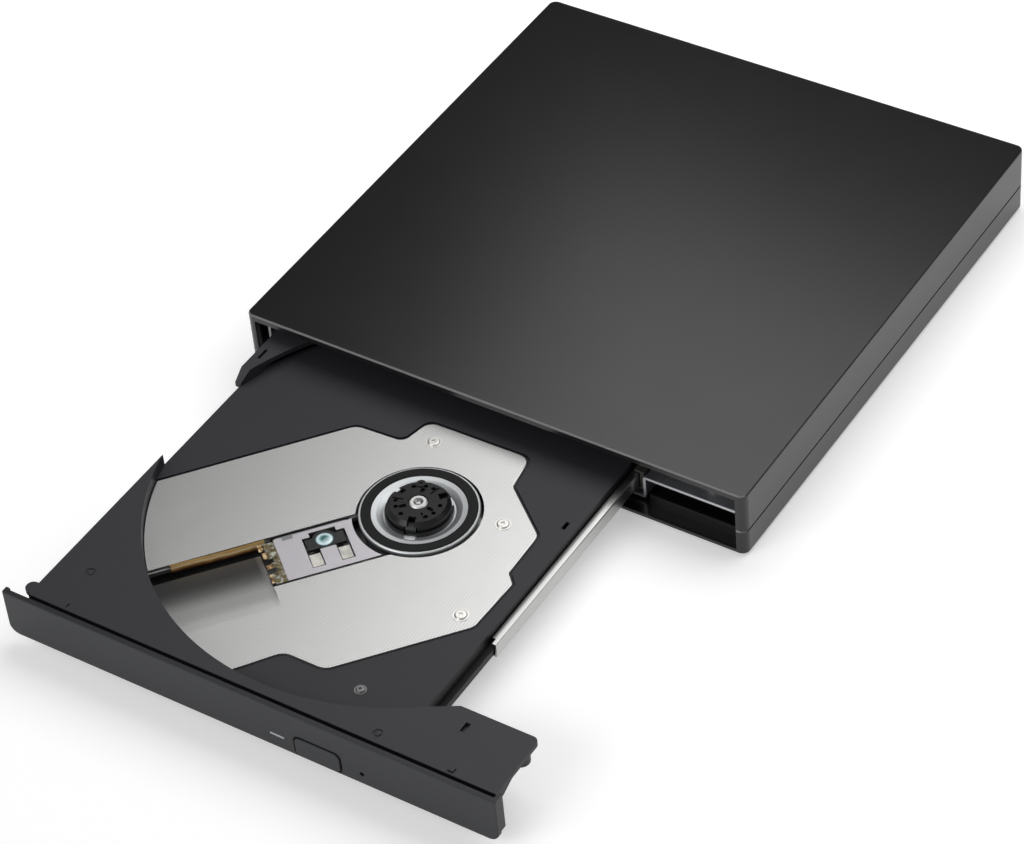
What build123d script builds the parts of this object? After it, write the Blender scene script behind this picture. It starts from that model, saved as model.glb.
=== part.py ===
from build123d import *
import os
from math import cos, radians, sin, sqrt

# External disc drive: a slim tray drive inside a two-piece plastic case, with the tray part open.
# Millimetres. X runs across the front, Y towards the back and Z up. The origin is the centre of
# the shallow recess in the middle of the case's underside. The tray opens towards -Y.

# Drive chassis inside the case
drive_width = 128.0
drive_depth = 128.0
drive_height = 12.7
drive_lift = 0.8
drive_setback = 4.0
drive_side_gap = 1.3
drive_top_gap = 1.7
drive_back_room = 4.9
pan_sheet = 0.7
cover_sheet = 0.5
cover_flange = 2.2
step_offset = 25.1
step_rise = 5.9
left_wall_lead = 1.0
bend_radius = 0.9
flange_screw_radius = 0.8
flange_screw_inset = 14.0

# Case round the drive
side_wall = 2.5
roof_wall = 1.6
floor_wall = 1.2
seam_height = 7.0
corner_radius = 2.0
top_edge_radius = 0.5
bottom_edge_radius = 0.5
seam_chamfer = 0.25
pocket_depth = 0.4
plate_recess_width = 70.0
plate_recess_depth = 46.0
foot_radius = 4.0
foot_height = 1.2
foot_inset = 11.0
foot_gap = 0.2
shell_screw_inset_x = 6.0
shell_screw_inset_y = 2.2
shell_screw_radius = 0.9
shell_screw_head_radius = 1.7
shell_screw_head = 0.8
boss_radius = 1.9
rib_width = 1.6
rib_spacing = 32.0
front_rib_height = 3.2
front_rib_width = 0.6

# Tray
tray_out = 98.9
disc_x = 1.2
disc_setback = 68.1
recess_radius = 62.6
tray_left = -59.7
tray_right = 35.3
tray_rear_gap = 5.0
tray_bottom = 3.3
tray_floor_top = 9.9
tray_rim_top = 13.0
tray_floor_thickness = 1.2
tray_wall = 1.3
left_overhang = 0.7
groove_width = 1.7
rear_block_left = -61.0
rear_block_start = 18.0
rear_block_ramp = 2.4
wing_right = 63.0
wing_depth = 19.1
wing_kink_x = 43.2
wing_corner_radius = 1.5
wing_slot_x = 47.4
bumper_radius = 2.1
bumper_height = 2.6
bumper_inset = 2.4
bumper_setback = 4.2
stake_radius = 0.75
gusset_width = 1.0
gusset_length = 6.4
gusset_height = 1.7
base_plate_sheet = 0.4
base_screw_radius = 0.6
base_screw_head = 0.15
base_screw_inset = 0.65

# Front bezel
bezel_width = 129.4
bezel_height = 12.5
bezel_thickness = 1.3
bezel_lift = 0.7
bezel_corner_radius = 2.6
bezel_edge_radius = 0.35
bezel_flange = 1.0
right_flange_depth = 2.9
left_flange_depth = 1.8
button_x = 19.2
button_height = 5.4
button_width = 11.6
button_z = 4.8
button_corner = 1.4
button_gap = 0.4
button_proud = 0.3
button_travel = 0.8
light_x = 8.6
light_width = 3.9
light_height = 0.9
light_z = 5.3
release_hole_x = 30.6
release_hole_z = 4.7
release_hole_radius = 0.6

# Telescopic rails
rail_width = 1.9
rail_height = 3.9
rail_sheet = 0.4
rail_z = 4.1
rail_length = 120.0
rail_front_gap = 0.5
rail_ratio = 0.614
rail_side_gap = 0.3
tongue_gap = 0.3
tongue_top_gap = 1.1
guide_lip = 1.1
guide_lip_height = 0.6
guide_length = 105.0

# Cover plate over the mechanism, and the slot for the pickup
plate_sheet = 0.5
plate_gap = 0.7
plate_ledge = 2.0
slot_angle = 230.0
slot_rear = -4.9
slot_front = 10.6
shelf_edge = -2.2
shelf_outer = 17.0
shelf_drop = 0.6
shelf_fall = 1.7
shelf_slope = 0.15
shelf_start = 37.0
shelf_bend = 0.4
turntable_hole_radius = 14.6
plate_screw_radius = 1.0
plate_screw_head_radius = 1.9
plate_screw_head = 0.5
plate_post_radius = 2.2
plate_screw_length = 3.0
tray_screw_head_radius = 1.4
tray_screw_length = 2.0
tray_screw_inset = 7.5
tray_screw_angle = -70.15

# Spindle
turntable_radius = 13.9
turntable_top = 10.5
turntable_thickness = 1.0
ring_inner_radius = 11.05
ring_outer_radius = 13.35
ring_top = 10.8
hub_radius = 7.4
hub_top = 13.0
hub_chamfer = 0.9
hub_dimple = 0.35
hub_flange_radius = 7.9
spindle_radius = 1.0
rotor_radius = 10.8
rotor_wall = 0.7
rotor_height = 3.2
running_gap = 0.05
claw_width = 2.4
claw_travel = 0.4
claw_count = 3
claw_angle = -72.0
dish_tab_reach = 10.2
dish_tab_width = 2.6
motor_plate_radius = 11.5
motor_plate_sheet = 0.6
sleeve_radius = 2.6
stator_radius = 9.2
stator_height = 2.0
stator_teeth = 9

# Pickup and its drive
rod_radius = 1.0
rod_z = 5.5
rod_rear = -8.5
rod_front = 16.0
rod_start = 11.5
rod_end = 70.0
rod_seat = 1.0
pickup_start = 15.0
pickup_end = 33.4
pickup_low = 3.6
pickup_block_top = 6.8
pickup_cover_top = 9.85
pickup_cover_sheet = 0.25
pickup_cover_rear = -3.8
pickup_cover_front = 9.9
lens_u = 22.4
lens_radius = 2.1
lens_curve = 4.6
focus_travel = 0.3
follower_start = 3.0
follower_length = 7.5
frame_sheet = 1.0
bush_radius = 1.5
bush_height = 0.8
screw_offset = 21.6
screw_radius = 1.1
screw_pitch = 3.0
screw_start = 3.0
screw_end = 61.5
motor_radius = 2.5
motor_length = 11.0

# Latch under the wing
latch_pin_x = 54.0
latch_pin_setback = 5.7
latch_pin_radius = 0.8
latch_pivot_x = 49.5
latch_reach = 3.4
latch_arm = 6.5
latch_hook = 3.3
latch_thickness = 1.2

# Boards and sockets
board_sheet = 1.0
board_gap = 0.3
bridge_length = 27.0
connector_inset = 40.0
connector_width = 22.0
connector_height = 3.2
connector_lift = 0.7
connector_depth = 3.6
connector_wall = 1.0
usb_width = 7.7
usb_height = 3.9
usb_depth = 9.0
usb_inset = 7.5
jack_width = 6.4
jack_height = 4.4
jack_depth = 9.5
jack_inset = 17.5
main_board_sheet = 0.8
main_board_lift = 0.6
main_board_front = 28.0
main_board_margin = 4.0
controller_size = 14.0
driver_width = 8.0
memory_size = 6.0
chip_height = 0.9
flex_sheet = 0.12
flex_width = 14.0
flex_branch = 8.0
flex_inset = 52.0
jack_bore = 1.8
jack_pin = 0.65
socket_gap = 0.3
touch = 0.3

# Levels and places worked out from the sizes above
case_width = drive_width + 2 * (drive_side_gap + side_wall)
case_depth = drive_setback + drive_depth + drive_back_room + side_wall
case_height = floor_wall + drive_lift + drive_height + drive_top_gap + roof_wall
bottom_z = -pocket_depth
top_z = bottom_z + case_height
seam_z = bottom_z + seam_height
case_floor = bottom_z + floor_wall
case_roof = top_z - roof_wall
front_y = -case_depth / 2
back_y = case_depth / 2
inner_x = case_width / 2 - side_wall
inner_back = back_y - side_wall
pan_z = case_floor + drive_lift
pan_floor = pan_z + pan_sheet
cover_top = pan_z + drive_height
cover_under = cover_top - cover_sheet
drive_x = drive_width / 2
drive_front = front_y + drive_setback
drive_back = drive_front + drive_depth
step_x = drive_x - step_offset
raised_under = pan_z + step_rise
raised_top = raised_under + pan_sheet
bezel_front = front_y - tray_out
bezel_back = bezel_front + bezel_thickness
bezel_low = case_floor + bezel_lift
bezel_high = bezel_low + bezel_height
disc_y = bezel_front + disc_setback
tray_front = bezel_back
tray_rear = drive_back - pan_sheet - tray_rear_gap - tray_out
tray_top_front = tray_front + groove_width
tray_floor_under = tray_floor_top - tray_floor_thickness
rim_under = tray_rim_top - tray_floor_thickness
tray_side_left = tray_left + left_overhang
wing_rear = tray_front + wing_depth
rail_top = rail_z + rail_height
right_rail_x = tray_right + touch
left_rail_x = tray_side_left - touch
rail_front = drive_front + rail_front_gap - tray_out * rail_ratio
rail_low_inside = rail_z + rail_sheet
tongue_low = rail_low_inside + tongue_gap
tongue_high = rail_top - rail_sheet - tongue_top_gap
tongue_reach = touch + rail_width - rail_sheet - tongue_gap
plate_under = tray_floor_top - plate_sheet
base_plate_z = tray_bottom - base_plate_sheet
plate_radius = recess_radius - touch
shelf_top = tray_floor_top - shelf_drop
turntable_low = turntable_top - turntable_thickness - 0.3
dish_z = turntable_top - 0.9
frame_z = tray_bottom + bush_height
latch_pin_y = drive_front + latch_pin_setback
latch_pivot_y = latch_pin_y - tray_out - latch_reach
latch_low = raised_top + 1.4
board_z = case_floor + 1.0
board_top = board_z + board_sheet
usb_x = drive_x - usb_inset
jack_x = drive_x - jack_inset
bridge_front = drive_back - bridge_length
connector_x = drive_x - connector_inset
connector_z0 = pan_floor + connector_lift
connector_z1 = connector_z0 + connector_height
main_board_top = raised_top + main_board_lift + main_board_sheet

# Corners of the cover plate from the disc axis, each with its rounding; the last four lie past
# the rim of the disc recess, which trims them to its own arc.
plate_corners = [
    (-28.6, 16.9, 4.0),
    (-16.0, 17.6, 2.5),
    (-14.2, 25.9, 3.0),
    (12.8, 26.4, 3.0),
    (14.4, 16.6, 1.6),
    (27.8, 5.8, 3.0),
    (28.1, -7.0, 1.2),
    (30.7, -9.6, 1.2),
    (30.2, -24.4, 3.0),
    (8.4, -50.4, 4.0),
    (-2.4, -50.4, 4.0),
    (-17.0, -70.3, 0.0),
    (-80.0, -70.3, 0.0),
    (-80.0, -28.4, 0.0),
    (-66.0, -28.4, 0.0),
]
plate_screws = [(-9.6, 20.7), (18.9, 5.4), (25.8, -22.9)]

disc_axis = Pos(disc_x, disc_y, 0)
sled = disc_axis * Rot(0, 0, slot_angle)


def slab(x0, x1, y0, y1, z0, z1):
    """A box between two corners."""
    size = (x1 - x0, y1 - y0, z1 - z0)
    return Pos((x0 + x1) / 2, (y0 + y1) / 2, (z0 + z1) / 2) * Box(*size)


def post(x, y, z0, z1, radius):
    """An upright cylinder."""
    return Pos(x, y, (z0 + z1) / 2) * Cylinder(radius, z1 - z0)


def bar(u0, u1, n, z, radius):
    """A cylinder lying along the slot's direction, in the sled's own frame."""
    return Pos((u0 + u1) / 2, n, z) * Rot(0, 90, 0) * Cylinder(radius, u1 - u0)


def rounded_slab(x0, x1, y0, y1, z0, z1, radius):
    """A flat block whose upright corners are rounded."""
    block = slab(x0, x1, y0, y1, z0, z1)
    return fillet(block.edges().filter_by(Axis.Z), radius)


def front_pad(x, z, width, height, y0, y1, radius):
    """A rounded rectangle standing in the XZ plane, as deep as y0 to y1."""
    block = slab(x - width / 2, x + width / 2, y0, y1, z - height / 2, z + height / 2)
    return fillet(block.edges().filter_by(Axis.Y), radius)


def lying_bore(x, z, y0, y1, radius):
    """A cylinder lying along Y."""
    return Pos(x, (y0 + y1) / 2, z) * Rot(90, 0, 0) * Cylinder(radius, y1 - y0)


def plate_outline(grow):
    """The cover plate's outline about the disc axis, moved outwards by grow."""
    face = Polygon(*[(x, y) for x, y, rounding in plate_corners], align=None)
    if grow != 0:
        face = offset(face, amount=grow, kind=Kind.INTERSECTION)
    for x, y, rounding in plate_corners:
        if rounding > 0:
            corner = min(face.vertices(), key=lambda v: (v.X - x) ** 2 + (v.Y - y) ** 2)
            face = fillet([corner], rounding)
    return face


def raised(face, height):
    """A level face drawn upwards."""
    return extrude(face, height, dir=(0, 0, 1))


def one_solid(shape):
    """The largest solid of a shape, without stray slivers."""
    return max(shape.solids(), key=lambda s: s.volume)


# Case

def shell_block():
    """The whole case as a solid block with its roundings."""
    block = slab(-case_width / 2, case_width / 2, front_y, back_y, bottom_z, top_z)
    block = fillet(block.edges().filter_by(Axis.Z), corner_radius)
    block = fillet(block.faces().sort_by(Axis.Z)[-1].edges(), top_edge_radius)
    return fillet(block.faces().sort_by(Axis.Z)[0].edges(), bottom_edge_radius)


def case_cavity():
    """The space for the drive, open through the whole front."""
    return slab(-inner_x, inner_x, front_y - 1, inner_back, case_floor, case_roof)


def socket_windows():
    """Cut-outs of the two sockets in the back wall."""
    windows = []
    for x, width, height in ((usb_x, usb_width, usb_height), (jack_x, jack_width, jack_height)):
        z = board_top + height / 2
        grown = 2 * socket_gap
        windows.append(front_pad(x, z, width + grown, height + grown, inner_back - 1, back_y + 1, 0.4))
    return windows


def shell_screw_spots():
    x = inner_x - shell_screw_inset_x
    y = inner_back - shell_screw_inset_y
    return [(-x, y)]


def upper_shell():
    block = shell_block() & slab(-case_width, case_width, -case_depth, case_depth, seam_z, top_z + 1)
    block = block - case_cavity()
    for index in (-1.5, -0.5, 0.5, 1.5):
        x = index * rib_spacing
        block += slab(x - rib_width / 2, x + rib_width / 2, drive_front, drive_back, cover_top, case_roof)
    for x, y in shell_screw_spots():
        block += post(x, y, case_floor + 2.0, case_roof, boss_radius)
        block -= post(x, y, case_floor + 1.0, case_roof - 1.0, shell_screw_radius)
    for window in socket_windows():
        block -= window
    seam_edges = block.edges().filter_by(lambda e: abs(e.center().Z - seam_z) < 0.01)
    outer = [e for e in seam_edges if is_outer_edge(e)]
    return chamfer(outer, seam_chamfer)


def is_outer_edge(edge):
    """True for an edge that runs along the outside of the case."""
    middle = edge.position_at(0.5)
    return abs(middle.X) > case_width / 2 - 1.2 or middle.Y > back_y - 1.2


def lower_shell():
    block = shell_block() & slab(-case_width, case_width, -case_depth, case_depth, bottom_z - 1, seam_z)
    block = block - case_cavity()
    for index in range(4):
        x = step_x - 5 - index * rib_spacing * 0.85
        block += slab(x - rib_width / 2, x + rib_width / 2, drive_front, drive_back - 1, case_floor, pan_z)
    block += slab(step_x + 2, inner_x, drive_front - front_rib_width, drive_front, case_floor,
                  case_floor + front_rib_height)
    for y in (drive_front + drive_depth * 0.23, drive_front + drive_depth * 0.62):
        block += post((step_x + drive_x) / 2, y, case_floor, raised_under, boss_radius)
    for x, y in board_posts():
        block += post(x, y, case_floor, board_z, boss_radius)
    block -= slab(-plate_recess_width / 2, plate_recess_width / 2,
                  -plate_recess_depth / 2, plate_recess_depth / 2, bottom_z - 1, 0)
    for x, y in foot_spots():
        block -= post(x, y, bottom_z - 1, 0, foot_radius + foot_gap)
    for x, y in shell_screw_spots():
        block += post(x, y, case_floor, case_floor + 2.0, boss_radius)
        block -= post(x, y, bottom_z - 1, case_floor + 3.0, shell_screw_radius)
        block -= post(x, y, bottom_z - 1, bottom_z + shell_screw_head, shell_screw_head_radius + touch)
    for window in socket_windows():
        block -= window
    seam_edges = block.edges().filter_by(lambda e: abs(e.center().Z - seam_z) < 0.01)
    outer = [e for e in seam_edges if is_outer_edge(e)]
    return chamfer(outer, seam_chamfer)


def board_posts():
    y = bridge_front + 3 * boss_radius
    return [(step_x + 3 * boss_radius, y), (drive_x - 1.5 * boss_radius, y)]


def foot_spots():
    x = case_width / 2 - foot_inset
    y = case_depth / 2 - foot_inset
    return [(-x, -y), (x, -y), (-x, y), (x, y)]


def rubber_feet():
    feet = []
    for x, y in foot_spots():
        foot = post(x, y, -foot_height, 0, foot_radius)
        feet.append(fillet(foot.faces().sort_by(Axis.Z)[0].edges(), 0.35))
    return feet


def shell_screws():
    screws = []
    for x, y in shell_screw_spots():
        head = post(x, y, bottom_z + 0.1, bottom_z + shell_screw_head, shell_screw_head_radius)
        shank = post(x, y, bottom_z + shell_screw_head, case_roof - 2.0, shell_screw_radius)
        head -= post(x, y, bottom_z, bottom_z + 0.45, 0.55)
        screws.append(head + shank)
    return screws


# Chassis

def chassis_pan():
    """Stepped steel pan: deep under the tray, and raised on the right under the wing."""
    inner = drive_x - pan_sheet
    left_front = drive_front - left_wall_lead
    pan = slab(-drive_x, step_x + pan_sheet, drive_front, drive_back, pan_z, pan_floor)
    pan += slab(-drive_x, -inner, left_front, drive_back, pan_z, cover_under)
    pan += slab(step_x, step_x + pan_sheet, drive_front, drive_back, pan_z, raised_top)
    pan += slab(step_x, drive_x, drive_front, drive_back, raised_under, raised_top)
    pan += slab(inner, drive_x, drive_front, drive_back, raised_under, cover_under)
    back_wall = drive_back - pan_sheet
    pan += slab(-drive_x, step_x + pan_sheet, back_wall, drive_back, pan_z, cover_under)
    pan += slab(step_x, drive_x, back_wall, drive_back, raised_under, cover_under)
    half = connector_width / 2 + touch
    pan -= slab(connector_x - half, connector_x + half, back_wall - 1, drive_back + 1,
                connector_z0 - touch, connector_z1 + touch)
    bends = [
        (-drive_x, pan_z),
        (step_x + pan_sheet, pan_z),
        (step_x, raised_top),
        (drive_x, raised_under),
    ]
    for x, z in bends:
        edge = min(pan.edges().filter_by(Axis.Y),
                   key=lambda e: abs(e.center().X - x) + abs(e.center().Z - z) - 0.001 * e.length)
        pan = fillet([edge], bend_radius)
    return pan


def chassis_cover():
    cover = slab(-drive_x - cover_sheet, drive_x + cover_sheet, drive_front, drive_back,
                 cover_under, cover_top)
    for x0 in (-drive_x - cover_sheet, drive_x):
        cover += slab(x0, x0 + cover_sheet, drive_front + 4, drive_back - 4,
                      cover_top - cover_flange, cover_top)
    return cover


def chassis_screws():
    """Four small screws that hold the cover's flanges to the pan."""
    screws = []
    for side in (-1, 1):
        for y in (drive_front + flange_screw_inset, drive_back - flange_screw_inset):
            x = side * (drive_x + cover_sheet)
            z = cover_top - cover_flange / 2 - 0.2
            head = Pos(x + side * 0.15, y, z) * Rot(0, 90, 0) * Cylinder(flange_screw_radius, 0.3)
            screws.append(head)
    return screws


def rail_guide(side):
    """Plastic channel between a rail and the chassis wall; side is 1 on the right."""
    if side > 0:
        rail_outer = right_rail_x + rail_width
        wall = step_x
    else:
        rail_outer = left_rail_x - rail_width
        wall = -(drive_x - pan_sheet)
    inner = rail_outer + side * rail_side_gap
    lip_tip = rail_outer - side * guide_lip
    y0 = drive_front + 0.6
    y1 = y0 + guide_length
    low = rail_z - rail_side_gap
    high = rail_top + rail_side_gap
    guide = slab(min(inner, wall), max(inner, wall), y0, y1, low - guide_lip_height,
                 high + guide_lip_height)
    guide += slab(min(lip_tip, wall), max(lip_tip, wall), y0, y1, low - guide_lip_height, low)
    guide += slab(min(lip_tip, wall), max(lip_tip, wall), y0, y1, high, high + guide_lip_height)
    for y in (y0 + 4, y1 - 8):
        guide += slab(min(lip_tip + side * 0.8, wall), max(lip_tip + side * 0.8, wall), y, y + 4,
                      pan_floor, low)
    return guide


def rail(side):
    """Steel channel, open towards the tray."""
    if side > 0:
        x0 = right_rail_x
        x1 = x0 + rail_width
        hollow = (x0 - 1, x1 - rail_sheet)
    else:
        x1 = left_rail_x
        x0 = x1 - rail_width
        hollow = (x0 + rail_sheet, x1 + 1)
    y1 = rail_front + rail_length
    body = slab(x0, x1, rail_front, y1, rail_z, rail_top)
    outer = x1 if side > 0 else x0
    bends = [e for e in body.edges().filter_by(Axis.Y) if abs(e.center().X - outer) < 0.01]
    body = fillet(bends, rail_sheet * 0.9)
    body -= slab(hollow[0], hollow[1], rail_front - 1, y1 + 1, rail_low_inside, rail_top - rail_sheet)
    inner = x0 if side > 0 else x1
    tip = slab(inner - 0.9, inner + 0.9, rail_front - 1, rail_front + 1.6, rail_top - 2 * rail_sheet,
               rail_top + 1)
    return body - tip


def drive_connector():
    half = connector_width / 2
    x0 = connector_x - half
    x1 = connector_x + half
    y0 = drive_back - connector_depth
    block = slab(x0, x1, y0, drive_back + 0.2, connector_z0, connector_z1)
    block += slab(x0 + connector_wall, x1 - connector_wall, y0, drive_back - 1.2, pan_floor, connector_z0)
    return block - slab(x0 + connector_wall, x1 - connector_wall, drive_back - connector_depth * 0.6,
                        drive_back + 1, connector_z0 + connector_wall, connector_z1 - connector_wall)


def board_connector():
    half = connector_width / 2
    block = slab(connector_x - half, connector_x + half, drive_back + drive_back_room * 0.12,
                 inner_back - 2 * board_gap, board_top, connector_z1)
    half = half - connector_wall - board_gap
    z0 = connector_z0 + connector_wall + board_gap
    z1 = connector_z1 - connector_wall - board_gap
    return block + slab(connector_x - half, connector_x + half, drive_back - connector_depth * 0.4,
                        drive_back + drive_back_room * 0.12, z0, z1)


def bridge_board():
    x0 = connector_x - connector_width / 2 - 2 * board_gap
    back = inner_back - board_gap
    board = slab(x0, drive_x, drive_back + board_gap, back, board_z, board_top)
    return board + slab(step_x + 7 * board_gap, drive_x, bridge_front, back, board_z, board_top)


def bridge_parts():
    """Bridge chip, crystal and capacitors on the bridge board."""
    y = bridge_front + bridge_length * 0.4
    x = drive_x
    return [
        rounded_slab(x - 16, x - 9, y - 3.5, y + 3.5, board_top, board_top + 1.2, 0.2),
        rounded_slab(x - 6.5, x - 3, y - 4, y - 2, board_top, board_top + 1.6, 0.6),
        post(x - 19.5, y - 5, board_top, board_top + 3.2, 1.6),
        slab(x - 20.5, x - 18.5, y, y + 1.2, board_top, board_top + 0.8),
        slab(x - 6, x - 4, y + 1, y + 2.2, board_top, board_top + 0.8),
    ]


def usb_socket():
    """Small five-pin socket: folded steel shell round a plastic tongue."""
    y1 = back_y - 0.9
    y0 = y1 - usb_depth
    z = board_top + usb_height / 2
    shell = front_pad(usb_x, z, usb_width, usb_height, y0, y1, 0.7)
    shell -= front_pad(usb_x, z, usb_width - 0.7, usb_height - 0.7, y0 + 0.8, y1 + 1, 0.5)
    tongue = slab(usb_x - 2.2, usb_x + 2.2, y0 + 0.5, y1 - 1.2, z + 0.1, z + 0.9)
    return shell + tongue


def dc_jack():
    y1 = back_y - 0.6
    y0 = y1 - jack_depth
    z = board_top + jack_height / 2
    body = front_pad(jack_x, z, jack_width, jack_height, y0, y1, 0.5)
    body -= lying_bore(jack_x, z, y0 + 1.5, y1 + 1, jack_bore)
    return body + lying_bore(jack_x, z, y0 + 1.0, y1 - 1.0, jack_pin)


def main_board():
    x0 = step_x + pan_sheet + main_board_margin / 3
    x1 = drive_x - pan_sheet - main_board_margin / 3
    y0 = drive_front + main_board_front
    y1 = drive_back - main_board_margin
    low = raised_top + main_board_lift
    board = slab(x0, x1, y0, y1, low, main_board_top)
    for x in (x0 + 3, x1 - 3):
        for y in (y0 + 5, y1 - 5):
            board += post(x, y, raised_top, low, 1.2)
    return board


def main_chips():
    """Controller, memory and two power parts along the main board."""
    z0 = main_board_top
    z1 = z0 + chip_height
    x0 = drive_x - controller_size - 6
    y = drive_front + main_board_front
    step = (drive_depth - main_board_front) / 5
    return [
        slab(drive_x - 10, drive_x - 10 + memory_size, y + step * 0.4, y + step * 0.6, z0, z1 + 0.3),
        rounded_slab(x0, x0 + memory_size, y + step * 0.6, y + step * 0.6 + memory_size, z0, z1, 0.2),
        rounded_slab(x0, x0 + controller_size, y + step * 1.7, y + step * 1.7 + controller_size, z0, z1, 0.3),
        rounded_slab(x0 + 2, x0 + 2 + driver_width, y + step * 3.0, y + step * 3.35, z0, z1, 0.2),
    ]


def flex_cable():
    """Flat cable on the pan's floor, from the tray towards the main board."""
    x0 = drive_x - flex_inset
    y0 = drive_front + drive_depth * 0.17
    y1 = drive_front + drive_depth * 0.75
    z1 = pan_floor + flex_sheet
    run = slab(x0, x0 + flex_width, y0, y1, pan_floor, z1)
    return run + slab(x0, step_x - flex_branch / 2, y1 - flex_branch, y1, pan_floor, z1)


def latch_pin():
    return post(latch_pin_x, latch_pin_y, raised_top, raised_top + 2.8, latch_pin_radius)


# Tray

def recess_cylinder(radius, z0, z1):
    return post(disc_x, disc_y, z0, z1, radius)


def front_rim():
    """Raised skin ahead of the disc recess, with the wing that passes over the raised pan."""
    skin = slab(tray_left, tray_right, tray_top_front, disc_y, rim_under, tray_rim_top)
    skin += post(tray_left - 0.4, tray_top_front + 2.2, rim_under, tray_rim_top, 1.7)
    kink = sqrt(recess_radius ** 2 - (36.9 - disc_x) ** 2)
    wing = Polygon(
        (tray_right - 3, tray_top_front),
        (wing_right, tray_top_front),
        (wing_right, wing_rear),
        (wing_kink_x, wing_rear),
        (36.9, disc_y - kink),
        (tray_right - 3, disc_y - kink),
        align=None,
    )
    corner = min(wing.vertices(), key=lambda v: abs(v.X - wing_right) + abs(v.Y - wing_rear))
    wing = fillet([corner], wing_corner_radius)
    skin += raised(Pos(0, 0, rim_under) * wing, tray_floor_thickness)
    return skin - recess_cylinder(recess_radius, rim_under - 1, tray_rim_top + 1)


def rear_corners():
    """Raised corners behind the disc, with a ramp at the front of the left one."""
    start = disc_y + rear_block_start
    block = slab(rear_block_left, tray_right, start - rear_block_ramp, tray_rear, tray_floor_under,
                 tray_rim_top)
    edge = block.edges().filter_by(Axis.X).group_by(Axis.Y)[0].sort_by(Axis.Z)[-1]
    block = chamfer([edge], rear_block_ramp, tray_rim_top - tray_floor_top)
    block -= recess_cylinder(recess_radius, tray_floor_under - 1, tray_rim_top + 1)
    block -= slab(tray_side_left + tray_wall, tray_right - tray_wall, start, tray_rear - tray_wall,
                  tray_floor_under - 1, rim_under)
    block -= slab(rear_block_left - 1, tray_left, start - 9, tray_rear + 1, tray_floor_under - 1,
                  tray_floor_under + 0.6)
    block -= slab(-59.5, -58.7, start + 5, start + 8.4, rim_under, tray_rim_top + 1)
    return block


def tray_box():
    """Floor and side walls below the disc, open underneath."""
    floor = slab(tray_left, tray_right, tray_front, tray_rear, tray_floor_under, tray_floor_top)
    floor &= recess_cylinder(recess_radius + tray_wall, tray_floor_under - 1, tray_floor_top + 1)
    walls = slab(tray_side_left, tray_right, tray_front, tray_rear, tray_bottom, tray_floor_top)
    walls -= slab(tray_side_left + tray_wall, tray_right - tray_wall, tray_front + tray_wall,
                  tray_rear - tray_wall, tray_bottom - 1, tray_floor_top + 1)
    ring = recess_cylinder(recess_radius + tray_wall, tray_floor_under, tray_rim_top)
    ring -= recess_cylinder(recess_radius, tray_floor_under - 1, tray_rim_top + 1)
    ring &= slab(tray_left, tray_right, tray_front + 1, disc_y, tray_floor_under, rim_under)
    front_wall = slab(tray_side_left, tray_right, tray_front, tray_front + tray_wall, tray_bottom, rim_under)
    step = slab(tray_left, wing_right - gusset_width, tray_front, tray_top_front + 0.4, rim_under - 1.0,
                rim_under)
    return floor + walls + ring + front_wall + step


def plate_seat():
    """Ledge and opening in the tray's floor for the cover plate, with room for the pickup."""
    gap_face = plate_outline(plate_gap)
    seat = raised(disc_axis * Pos(0, 0, plate_under) * gap_face, plate_sheet + 1)
    seat &= recess_cylinder(recess_radius, plate_under, tray_floor_top + 1)
    hole_face = plate_outline(-plate_ledge)
    hole = raised(disc_axis * Pos(0, 0, tray_floor_under - 1) * hole_face, tray_floor_thickness + 2)
    hole &= recess_cylinder(recess_radius - plate_ledge, tray_floor_under - 1, tray_floor_top + 1)
    passage = slab(30, recess_radius + 14, slot_rear - 1.0, slot_front + 1.0, tray_floor_under - 1,
                   tray_floor_top + 0.8)
    roll = slab(shelf_start - 1, recess_radius, slot_front, shelf_outer + touch, tray_floor_under - 1,
                tray_floor_top)
    return seat + hole + sled * passage + (sled * roll & recess_cylinder(recess_radius, 0, tray_floor_top))


def tongue(side):
    """Rib that runs inside a rail."""
    if side > 0:
        return slab(tray_right - 0.2, tray_right + tongue_reach, tray_front + 4, tray_rear, tongue_low,
                    tongue_high)
    return slab(tray_side_left - tongue_reach, tray_side_left + 0.2, tray_front + 4, tray_rear,
                tongue_low, tongue_high)


def front_openings():
    """Windows in the tray's front wall behind the button, the light and the release hole."""
    y0 = tray_front - 1
    y1 = tray_front + tray_wall + 1
    cuts = slab(button_x - button_width / 2 - 0.8, button_x + button_width / 2 + 0.8, y0, y1,
                tray_bottom - 1, button_z + button_height / 2 + 0.8)
    cuts += slab(light_x - light_width / 2 - 0.3, light_x + light_width / 2 + 0.3, y0, y1,
                 light_z - light_height / 2 - 0.3, light_z + light_height / 2 + 0.3)
    return cuts + lying_bore(release_hole_x, release_hole_z, y0, y1, release_hole_radius + 0.5)


def rim_marks():
    """Small slots and shallow rings in the tray's top."""
    cuts = slab(wing_slot_x - 0.6, wing_slot_x + 0.6, wing_rear - 6.1, wing_rear - 3.4, rim_under + 0.3,
                tray_rim_top + 1)
    cuts += slab(disc_x + 31.0, disc_x + 32.0, disc_y + 10.4, disc_y + 12.8, tray_floor_under - 1,
                 tray_floor_top + 1)
    cuts += slab(disc_x - 51.0, disc_x - 50.7, disc_y - 64.4, disc_y - 63.2, rim_under + 0.5,
                 tray_rim_top + 1)
    for x, y in stake_spots():
        cuts += post(x, y, tray_rim_top - 0.2, tray_rim_top + 1, stake_radius + 0.45)
    return cuts


def stake_spots():
    """Places of the round stakes that hold the front rim to the tray."""
    return [(disc_x - 52.6, disc_y - 53.0), (disc_x + 30.8, disc_y - 62.6)]


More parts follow.
